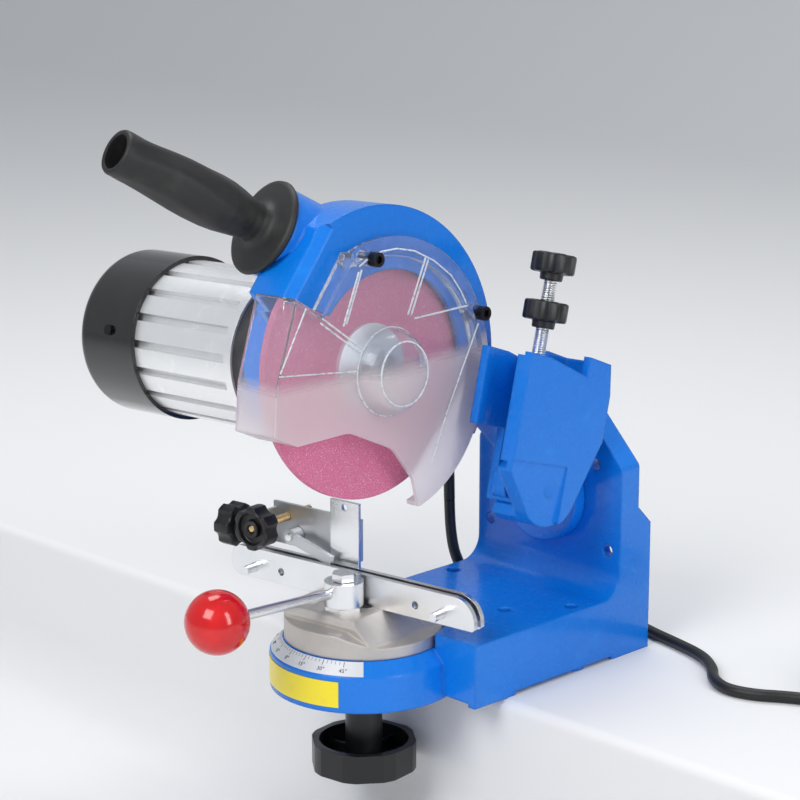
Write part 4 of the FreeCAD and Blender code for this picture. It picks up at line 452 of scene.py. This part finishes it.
def threaded_rod(name, at, body, slot, replaces, radius, length, pitch):
    """A screw with a real helical thread and a tapered start."""
    segments, per_turn = 24, 6
    depth = pitch * THREAD_DEPTH
    rows = int(length / pitch * per_turn)
    corners = [(0.0, 0.0, 0.0)]
    for row in range(rows + 1):
        level = length * row / rows
        taper = min(1.0, level / pitch / 1.5)
        for k in range(segments):
            share = (level / pitch - k / segments) % 1.0
            ridge = 1 - abs(2 * share - 1)
            r = radius - depth * (1 - ridge) - (1 - taper) * depth * 1.2
            angle = 2 * math.pi * k / segments
            corners.append((r * math.cos(angle), r * math.sin(angle), level))
    faces = [tuple(i + 1 for i in face) for face in rings_to_faces(rows + 1, segments, False)]
    faces += [(0, 1 + (k + 1) % segments, 1 + k) for k in range(segments)]
    corners.append((0.0, 0.0, length))
    top = len(corners) - 1
    start = 1 + rows * segments
    faces += [(top, start + k, start + (k + 1) % segments) for k in range(segments)]
    return finish_mesh(name, mesh_from(name, corners, faces, at), body, slot, replaces, angle=50.0)


BEAD_ROUNDNESS = 3


def tube_along(name, points, radius, body, slot, material=None):
    """A closed round bead along points in metres."""
    curve = bpy.data.curves.new(name, "CURVE")
    curve.dimensions = "3D"
    curve.bevel_depth = radius * MM
    curve.bevel_resolution = BEAD_ROUNDNESS
    curve.use_fill_caps = True
    line = curve.splines.new("POLY")
    line.points.add(len(points) - 1)
    for point, place in zip(line.points, points):
        point.co = (*place, 1)
    holder = bpy.data.objects.new(name + "_line", curve)
    scene.collection.objects.link(holder)
    graph = bpy.context.evaluated_depsgraph_get()
    mesh = bpy.data.meshes.new_from_object(holder.evaluated_get(graph))
    bpy.data.objects.remove(holder)
    return finish_mesh(name, mesh, body, slot, material=material)


# ---------------------------------------------------------------- cord and plug
CORD_RADIUS = 3.3
COIL = (205.0, 88.4)
COIL_RADIUS = 35.0
COIL_TURNS = 6
POINTS_PER_TURN = 14
# side and level of the cord in each turn of the coil
COIL_LAYERS = [(1, 0), (-1, 0), (-1, 1), (1, 1), (1, 2), (-1, 2)]
# share of a turn after which the cord moves over to the next layer
COIL_CROSSING = 0.72
GLAND_LEAVES = HEAD @ (Vector((-33.5, 57.56, 0)) * MM) / MM


def hang_points():
    x, y, z = GLAND_LEAVES
    return [(x, y, z), (x - 1, y + 20, z - 1), (x - 6, y + 39, z - 12), (x - 11, y + 51, z - 36),
            (-65, 15, 106), (-65, 16, 72)]


def coil_points():
    """Six turns, two wide and three high, entered at the front and left at the right."""
    points = []
    start = -90.0
    last = COIL_TURNS - 1
    total = COIL_TURNS * POINTS_PER_TURN + 3
    for step in range(1, total + 1):
        turns = step / POINTS_PER_TURN
        index = min(int(turns), last)
        over = (turns - index - COIL_CROSSING) / 0.28
        share = min(1.0, max(0.0, over)) if index < last else 0.0
        side, level = COIL_LAYERS[index]
        next_side, next_level = COIL_LAYERS[min(index + 1, last)]
        radius = COIL_RADIUS + CORD_RADIUS * (side + (next_side - side) * share)
        height = CORD_RADIUS * 1.02 + 2 * CORD_RADIUS * (level + (next_level - level) * share)
        angle = math.radians(start + 360.0 * turns)
        points.append((COIL[0] + radius * math.cos(angle), COIL[1] + radius * math.sin(angle),
                       height))
    return points


def floor_points():
    low = CORD_RADIUS
    return [(-65, 16, 71.7), (-65, 16.65, 50), (-65, 24, 29), (-64, 40, 11), (-58, 60, low),
            (-49, 76, low), (-31, 86, low), (-8, 87, low), (18, 80, low), (44, 71, low),
            (70, 65.5, low), (92, 60, low), (109, 49, low), (121, 34, low), (136, 27, low),
            (152, 31, low), (166, 41, low), (181, 48.5, low), (199, 50.1, low)]


def tail_points():
    low = CORD_RADIUS
    return [(243.3, 111.4, low + 6), (238.4, 124.4, low + 2.4), (229.2, 134.8, low + 2.2),
            (216.9, 141.3, low + 2.9), (203, 143, low + 4.2)]


def cord_line(name, points):
    """One open smooth curve through the cord's bends, with the cord's own thickness."""
    curve = bpy.data.curves.new(name, "CURVE")
    curve.dimensions = "3D"
    curve.bevel_depth = CORD_RADIUS * MM
    curve.bevel_resolution = 4
    curve.resolution_u = 8
    curve.use_fill_caps = True
    line = curve.splines.new("NURBS")
    line.points.add(len(points) - 1)
    for point, place in zip(line.points, points):
        point.co = (*(Vector(place) * MM), 1)
    line.order_u = 3
    line.use_endpoint_u = True
    holder = bpy.data.objects.new(name, curve)
    scene.collection.objects.link(holder)
    return holder


def centre_line(holder):
    """The curve's own line, as points, and its length."""
    bare = holder.data.copy()
    bare.bevel_depth = 0
    probe = bpy.data.objects.new("probe", bare)
    scene.collection.objects.link(probe)
    graph = bpy.context.evaluated_depsgraph_get()
    mesh = bpy.data.meshes.new_from_object(probe.evaluated_get(graph))
    path = [tuple(vertex.co) for vertex in mesh.vertices]
    bpy.data.objects.remove(probe)
    length = sum((Vector(b) - Vector(a)).length for a, b in zip(path, path[1:]))
    return path, length


def bending_cord(name, points, replaces):
    """A cord as a mesh tube along its points, built once in place and set on no body."""
    holder = cord_line(name + "_line", points)
    path, length = centre_line(holder)
    graph = bpy.context.evaluated_depsgraph_get()
    mesh = bpy.data.meshes.new_from_object(holder.evaluated_get(graph))
    bpy.data.objects.remove(holder)
    cord = finish_mesh(name, mesh, None, "cord_black", replaces)
    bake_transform(cord)
    print("cord", name, "length", round(length, 4))


# half width, half height, level and squareness of the plug's shell
PLUG_SHELL = [(8.5, 6.2, 25.0, 2.6), (11.2, 7.1, 27.0, 3.2), (12.6, 7.4, 30.0, 3.6),
              (12.2, 7.4, 35.0, 3.8), (11.6, 7.3, 39.0, 3.8), (12.2, 7.4, 43.0, 3.8),
              (12.9, 7.45, 50.0, 4.0), (13.0, 7.5, 54.5, 4.0), (12.6, 7.1, 55.6, 4.0),
              (11.6, 6.2, 56.0, 4.0)]
PLUG_RELIEF = 24.0
PLUG_RINGS = 12
PIN_SIDE = 9.5
PIN_PROFILE = [(0.0, 56.0), (2.4, 56.0), (2.4, 73.4), (2.1, 74.4), (1.2, 75.0), (0.0, 75.0)]


def make_plug():
    """A moulded two-pin plug: rounded shell with finger grooves, and a ribbed tapered relief."""
    at = Matrix.Translation(Vector((203, 143, 7.5)) * MM) @ turn(-7, "Z") @ TO_MINUS_X
    rows = []
    for k in range(PLUG_RINGS + 1):
        level = PLUG_RELIEF * k / PLUG_RINGS
        size = 3.5 + 2.0 * k / PLUG_RINGS + (0.35 if k % 2 else -0.1)
        rows.append((size, size, level, 2.0))
    rows += PLUG_SHELL
    segments = 48
    corners = []
    for wide, tall, level, power in rows:
        for k in range(segments):
            angle = 2 * math.pi * k / segments
            c, s = math.cos(angle), math.sin(angle)
            across = wide * math.copysign(abs(s) ** (2 / power), s)
            up = tall * math.copysign(abs(c) ** (2 / power), c)
            corners.append((up, across, level))
    faces = rings_to_faces(len(rows), segments, False)
    faces.append(tuple(reversed(range(segments))))
    faces.append(tuple(range(len(corners) - segments, len(corners))))
    shell = finish_mesh("plug_shell", mesh_from("plug_shell", corners, faces, at), "base",
                        "cord_black", ("plug",), angle=45.0)
    pins = []
    for side in (-PIN_SIDE, PIN_SIDE):
        spots, sides = turned(PIN_PROFILE, 24, closed=False)
        spots = [(x, y + side, z) for x, y, z in spots]
        pins.append(mesh_from("pin", spots, sides, at))
    work = bmesh.new()
    for mesh in pins:
        work.from_mesh(mesh)
    both = bpy.data.meshes.new("plug_pin_pair")
    work.to_mesh(both)
    work.free()
    pair = finish_mesh("plug_pin_pair", both, "base", "pin_brass", ("plug_pins",))
    return shell, pair


def make_gland():
    """A ribbed, tapered strain relief where the cord leaves the motor's neck."""
    at = HEAD @ shift(-33.5, 45.6, 0) @ TO_Y
    profile = [(3.35, 0.0), (6.5, 0.0), (6.5, 4.6), (5.9, 5.4)]
    for k in range(5):
        level = 6.2 + k * 3.6
        size = 5.5 - k * 0.36
        valley = size - 0.8
        profile += [(size, level), (size, level + 2.0), (valley, level + 2.3), (valley, level + 3.2)]
    profile += [(3.9, 24.6), (3.36, 25.0)]
    corners, faces = turned(profile, 40)
    return finish_mesh("cord_relief", mesh_from("cord_relief", corners, faces, at), "head",
                       "black_plastic", ("cord_gland",))


def make_cords():
    relief = make_gland()
    shell, pins = make_plug()
    drop = hang_points()
    bending_cord("hanging_cord", drop,
                 ("cord_drop",))
    lead = floor_points() + coil_points() + tail_points()
    bending_cord("mains_cord", lead,
                 ("cord_floor", "cord_coil", "cord_tail"))


make_cords()


# ---------------------------------------------------------------- handle
# distance along the grip and radius there
GRIP_OUTLINE = [(0.0, 24.0), (0.6, 26.4), (1.8, 27.0), (3.2, 26.6), (4.2, 24.5), (5.2, 17.0),
                (7.0, 12.6), (10.0, 11.2), (15.0, 11.3), (22.0, 12.8), (30.0, 14.2), (38.0, 14.7),
                (50.0, 14.7), (60.0, 14.4), (70.0, 13.7), (80.0, 12.9), (88.0, 12.5), (96.0, 12.6),
                (99.5, 12.5), (100.6, 11.9), (101.0, 11.0)]
GRIP_ROW = 0.8
WAVES_START, WAVES_END = 16, 97
WAVE_COUNT = 7
WAVE_HEIGHT = 0.28


def make_grip():
    """A soft side handle: collar, waisted neck, full middle with long raised waves, open end."""
    outer = []
    for (low, r0), (high, r1) in zip(GRIP_OUTLINE, GRIP_OUTLINE[1:]):
        steps = max(1, int((high - low) / GRIP_ROW))
        for k in range(steps):
            outer.append((r0 + (r1 - r0) * k / steps, low + (high - low) * k / steps))
    outer.append((11.0, 101.0))
    inner = [(9.6, 100.6), (9.4, 99.0), (9.3, 74.0), (5.2, 70.0), (5.1, 0.0)]

    def waves(radius, height, angle):
        if radius < 10.5 or not WAVES_START < height < WAVES_END:
            return radius
        edge = min(1.0, (height - WAVES_START) / 6, (WAVES_END - height) / 5)
        groove = math.cos(WAVE_COUNT * angle + 1.8 * math.sin(height * 0.07))
        return radius + edge * WAVE_HEIGHT * groove

    corners, faces = turned(outer + inner, 96, warp=waves)
    finish_mesh("soft_grip", mesh_from("soft_grip", corners, faces, GRIP), "head", "grip_rubber",
                ("handle_grip",), angle=60.0)


make_grip()


# ---------------------------------------------------------------- guard
GUARD_FACE = 18.6


# radius of each raised moulding line and its (across, up) spots on the guard's face; the lines are drawn
# pale white, a painted highlight along the ribs and creases
GUARD_LINES = {
    "notch_rib": (0.55, [(-46, 35), (-19, 15)]),
    "notch_rib_twin": (0.55, [(-47.4, 32.8), (-20.4, 12.8)]),
    "screw_rib": (0.55, [(-16.4, 56.5), (-29, 29.5)]),
    "screw_rib_twin": (0.55, [(-18.6, 55.6), (-31.2, 28.6)]),
    "dome_rib": (0.55, [(33.3, 55.3), (18.5, 26.5)]),
    "dome_rib_twin": (0.55, [(31.2, 56.4), (16.4, 27.6)]),
    "side_rib": (0.55, [(62, 25.5), (21.2, 24.7)]),
    "right_rib": (0.45, [(70.5, 14.4), (44.3, -29.9), (30, -58)]),
    "left_rib": (0.45, [(-57, 42), (-76.8, 10.8)]),
    "frost_edge_highlight": (0.4, [(-77.5, 9.4), (-23, 3.2)]),
    "dome_crease": (0.45, [(-18, 58.5), (-9, 62.6), (-1.1, 64.2), (10.2, 64.2), (23.2, 61.2),
                           (37.8, 53.8), (50.4, 44.1), (57.4, 34.6), (61.5, 27)]),
}


def make_guard_lines():
    for name, (radius, spots) in GUARD_LINES.items():
        places = [HEAD @ (Vector((GUARD_FACE, across, up)) * MM) for across, up in spots]
        # each line is a thin tube in the pale finish: a painted highlight on the clear guard
        tube_along(name, places, radius, "head", "clear_plastic", material=HIGHLIGHT_WHITE)


def make_spindle_cover():
    """The guard's raised clear boss over the end of the spindle."""
    profile = [(24.0, 0.05), (23.2, 3.0), (21.0, 8.0), (18.6, 11.2), (15.5, 12.4), (0.0, 12.9),
               (0.0, 11.7), (15.0, 11.2), (17.6, 10.2), (19.9, 7.4), (22.0, 2.6), (22.7, 0.05)]
    at = HEAD @ shift(18.5, 1, -1) @ TO_X
    corners, faces = turned(profile, 72)
    finish_mesh("spindle_cover", mesh_from("spindle_cover", corners, faces, at), "head",
                "clear_plastic")
    # thin pale rings at the cover's foot and top: a painted highlight along its edges
    for name, radius, level in (("cover_foot_ring", 23.9, 0.3), ("cover_top_ring", 17.4, 11.9)):
        loop = []
        for degree in range(0, 361, 6):
            angle = math.radians(degree)
            spot = Vector((radius * math.cos(angle), radius * math.sin(angle), level))
            loop.append(at @ (spot * MM))
        tube_along(name, loop, 0.5, "head", "clear_plastic", material=HIGHLIGHT_WHITE)


HIGHLIGHT_WHITE = frosted_line()
make_guard_lines()
make_spindle_cover()


# ---------------------------------------------------------------- star knobs and their screws
STOP_SCREW_X, STOP_SCREW_Z = -60, 82.3
DEPTH_X, DEPTH_Y = 33.5, -10
TILT_KNOB_BACK = 158.3


def make_knobs():
    star_knob("stop_star_knob", VISE @ shift(STOP_SCREW_X, -25.3, STOP_SCREW_Z) @ TO_Y,
              "stop_knob", ("stop_knob",))
    star_knob("stop_lock_star_knob", VISE @ shift(-94, -6, 76) @ TO_X, "stop_lock", ("stop_lock_knob",),
              hub=8.0)
    over = turn(180, "X")
    star_knob("depth_star_knob", ARM @ shift(DEPTH_X, DEPTH_Y, 128) @ over, "depth_knob",
              ("depth_knob",), radius=12.3, bore=4.0, hub_radius=6.4, cup=2.0)
    star_knob("depth_lock_star_knob", ARM @ shift(DEPTH_X, DEPTH_Y, 101.5) @ over, "depth_lock",
              ("depth_lock_knob",), radius=12.3, bore=4.05, hub_radius=6.4, cup=1.2)
    star_knob("tilt_star_knob", TILT @ shift(0, TILT_KNOB_BACK, 0) @ turn(90, "X"), "tilt_lock",
              ("tilt_lock_knob",), radius=20.0, height=15.0, hub=8.0, bore=6.1, hub_radius=9.0, cut=6.5)


make_knobs()


def make_screws():
    threaded_rod("stop_thread", VISE @ shift(STOP_SCREW_X, -24.3, STOP_SCREW_Z) @ TO_Y, "stop_screw",
                 "yellow_zinc", ("stop_screw",), radius=2.45, length=50.3, pitch=1.0)
    threaded_rod("depth_thread", ARM @ shift(DEPTH_X, DEPTH_Y, 0.8), "depth_screw", "plated_steel",
                 ("depth_screw",), radius=3.95, length=123.2, pitch=1.25)


make_screws()


# ---------------------------------------------------------------- dial marks
DISC_HEIGHT, DISC_RISE = 20.0, 7.0
DISC_RADIUS, DIAL_INNER_RADIUS = 52.0, 44.6
PLATE_THICKNESS = 0.4
DIAL_CENTRE = -102.0
NUMBER_RADIUS = 49.3
NUMBER_SIZE = 3.2
DIAL_SLOPE = 43.4
BOX_FACES = ((3, 2, 1, 0), (4, 5, 6, 7), (0, 1, 5, 4), (1, 2, 6, 5), (2, 3, 7, 6), (3, 0, 4, 7))


def dial_level(radius):
    """Height of the sloping dial plate's face at a radius."""
    climb = DISC_RISE * (DISC_RADIUS - radius) / (DISC_RADIUS - DIAL_INNER_RADIUS)
    return DISC_HEIGHT + climb + PLATE_THICKNESS


def dial_marks():
    """Degree ticks and numbers on the swivel plate, pressed on as thin print."""
    corners, faces = [], []

    def bar(angle, inner, outer, half):
        c, s = math.cos(math.radians(angle)), math.sin(math.radians(angle))
        start = len(corners)
        for lift in (0.02, 0.10):
            for r, side in ((inner, -half), (outer, -half), (outer, half), (inner, half)):
                corners.append((r * c - side * s, r * s + side * c, dial_level(r) + lift))
        faces.extend(tuple(start + k for k in face) for face in BOX_FACES)

    for degree in range(-45, 46, 3):
        if degree % 15 == 0:
            bar(DIAL_CENTRE + degree, 45.3, 47.6, 0.16)
        else:
            bar(DIAL_CENTRE + degree, 45.3, 46.6, 0.11)
    finish_mesh("dial_ticks", mesh_from("dial_ticks", corners, faces, BENCH), "base", "scale_plate",
                material=PRINT)
    print_height = dial_level(NUMBER_RADIUS) + 0.06
    on_dial = shift(NUMBER_RADIUS, 0, print_height) @ turn(DIAL_SLOPE, "Y") @ turn(90, "Z")
    work = bmesh.new()
    for degree in (-45, -30, -15, 0, 15, 30, 45):
        text = bpy.data.curves.new("number", "FONT")
        text.body = str(abs(degree)) + "°"
        text.size = NUMBER_SIZE * MM
        text.align_x = "CENTER"
        text.align_y = "CENTER"
        text.extrude = 0.04 * MM
        holder = bpy.data.objects.new("number", text)
        scene.collection.objects.link(holder)
        graph = bpy.context.evaluated_depsgraph_get()
        mesh = bpy.data.meshes.new_from_object(holder.evaluated_get(graph))
        bpy.data.objects.remove(holder)
        mesh.transform(BENCH @ turn(DIAL_CENTRE + degree, "Z") @ on_dial)
        work.from_mesh(mesh)
    numbers = bpy.data.meshes.new("dial_numbers")
    work.to_mesh(numbers)
    work.free()
    finish_mesh("dial_numbers", numbers, "base", "scale_plate", material=PRINT)


PRINT = print_black()
dial_marks()


# ---------------------------------------------------------------- stage and light
def stage_finish(name, colour):
    """A plain pale material for the stage."""
    material = bpy.data.materials.new(name)
    material.use_nodes = True
    shader = material.node_tree.nodes["Principled BSDF"]
    shader.inputs["Base Color"].default_value = colour
    shader.inputs["Roughness"].default_value = 0.9
    return material


BENCH_EDGE, BENCH_DROP = -66.0, 90.0
BENCH_TOP = -0.05
COVE, NOSE, SWEEP = 30, 6, 900
STAGE_FRONT, SWEEP_START, STAGE_TOP, STAGE_SIDE = -2500.0, 1500.0, 3000.0, 8000.0


def arc(y, z, radius, start, steps, first=0, way=1):
    """Spots on a quarter circle, from the start angle on."""
    spots = []
    for k in range(first, steps + 1):
        angle = math.radians(start + way * 90 * k / steps)
        spots.append((y + radius * math.cos(angle), z + radius * math.sin(angle)))
    return spots


def make_stage():
    """A bench top with the sharpener at its front edge, and a floor level with the knob below."""
    profile = [(STAGE_FRONT, -BENCH_DROP)]
    profile += arc(BENCH_EDGE - COVE, COVE - BENCH_DROP, COVE, 270, 8)
    profile += arc(BENCH_EDGE + NOSE, BENCH_TOP - NOSE, NOSE, 180, 8, way=-1)
    profile.append((SWEEP_START, BENCH_TOP))
    profile += arc(SWEEP_START, BENCH_TOP + SWEEP, SWEEP, -90, 12, first=1)
    profile.append((SWEEP_START + SWEEP, STAGE_TOP))
    corners = []
    for x in (-STAGE_SIDE, STAGE_SIDE):
        corners += [(x, y, z) for y, z in profile]
    count = len(profile)
    faces = [(k, k + 1, count + k + 1, count + k) for k in range(count - 1)]
    mesh = bpy.data.meshes.new("stage_floor")
    mesh.from_pydata([tuple(Vector(c) * MM) for c in corners], [], faces)
    mesh.polygons.foreach_set("use_smooth", [True] * len(mesh.polygons))
    mesh.materials.append(stage_finish("stage_pale", (0.82, 0.82, 0.82, 1.0)))
    floor = bpy.data.objects.new("stage_floor", mesh)
    scene.collection.objects.link(floor)


def lamp(name, place, target, size, watts):
    """A soft box at a place in metres, facing its target."""
    data = bpy.data.lights.new(name, "AREA")
    data.shape = "RECTANGLE"
    data.size, data.size_y = size
    data.energy = watts
    holder = bpy.data.objects.new(name, data)
    scene.collection.objects.link(holder)
    aim = (Vector(target) - Vector(place)).to_track_quat("-Z", "Y")
    holder.matrix_world = Matrix.Translation(Vector(place)) @ aim.to_matrix().to_4x4()


def light_stage():
    world = bpy.data.worlds.new("studio")
    scene.world = world
    world.use_nodes = True
    tree = world.node_tree
    soft = tree.nodes["Background"]
    soft.inputs["Color"].default_value = (0.86, 0.90, 0.96, 1.0)
    soft.inputs["Strength"].default_value = 0.5
    seen = tree.nodes.new("ShaderNodeBackground")
    seen.inputs["Color"].default_value = (1.0, 1.0, 1.0, 1.0)
    seen.inputs["Strength"].default_value = 0.95
    rays = tree.nodes.new("ShaderNodeLightPath")
    first = tree.nodes.new("ShaderNodeMath")
    first.operation = "MAXIMUM"
    tree.links.new(rays.outputs["Is Camera Ray"], first.inputs[0])
    tree.links.new(rays.outputs["Is Transmission Ray"], first.inputs[1])
    mix = tree.nodes.new("ShaderNodeMixShader")
    tree.links.new(first.outputs[0], mix.inputs[0])
    tree.links.new(soft.outputs[0], mix.inputs[1])
    tree.links.new(seen.outputs[0], mix.inputs[2])
    tree.links.new(mix.outputs[0], tree.nodes["World Output"].inputs["Surface"])
    lamp("key_softbox", (0.15, -1.45, 1.25), (0, -0.05, 0.12), (0.9, 0.9), 15)
    lamp("side_softbox", (1.35, -0.1, 0.75), (0, -0.05, 0.12), (0.35, 1.1), 7)
    lamp("top_softbox", (-0.5, 0.3, 1.5), (0, -0.05, 0.1), (1.2, 0.6), 10)


make_stage()
light_stage()
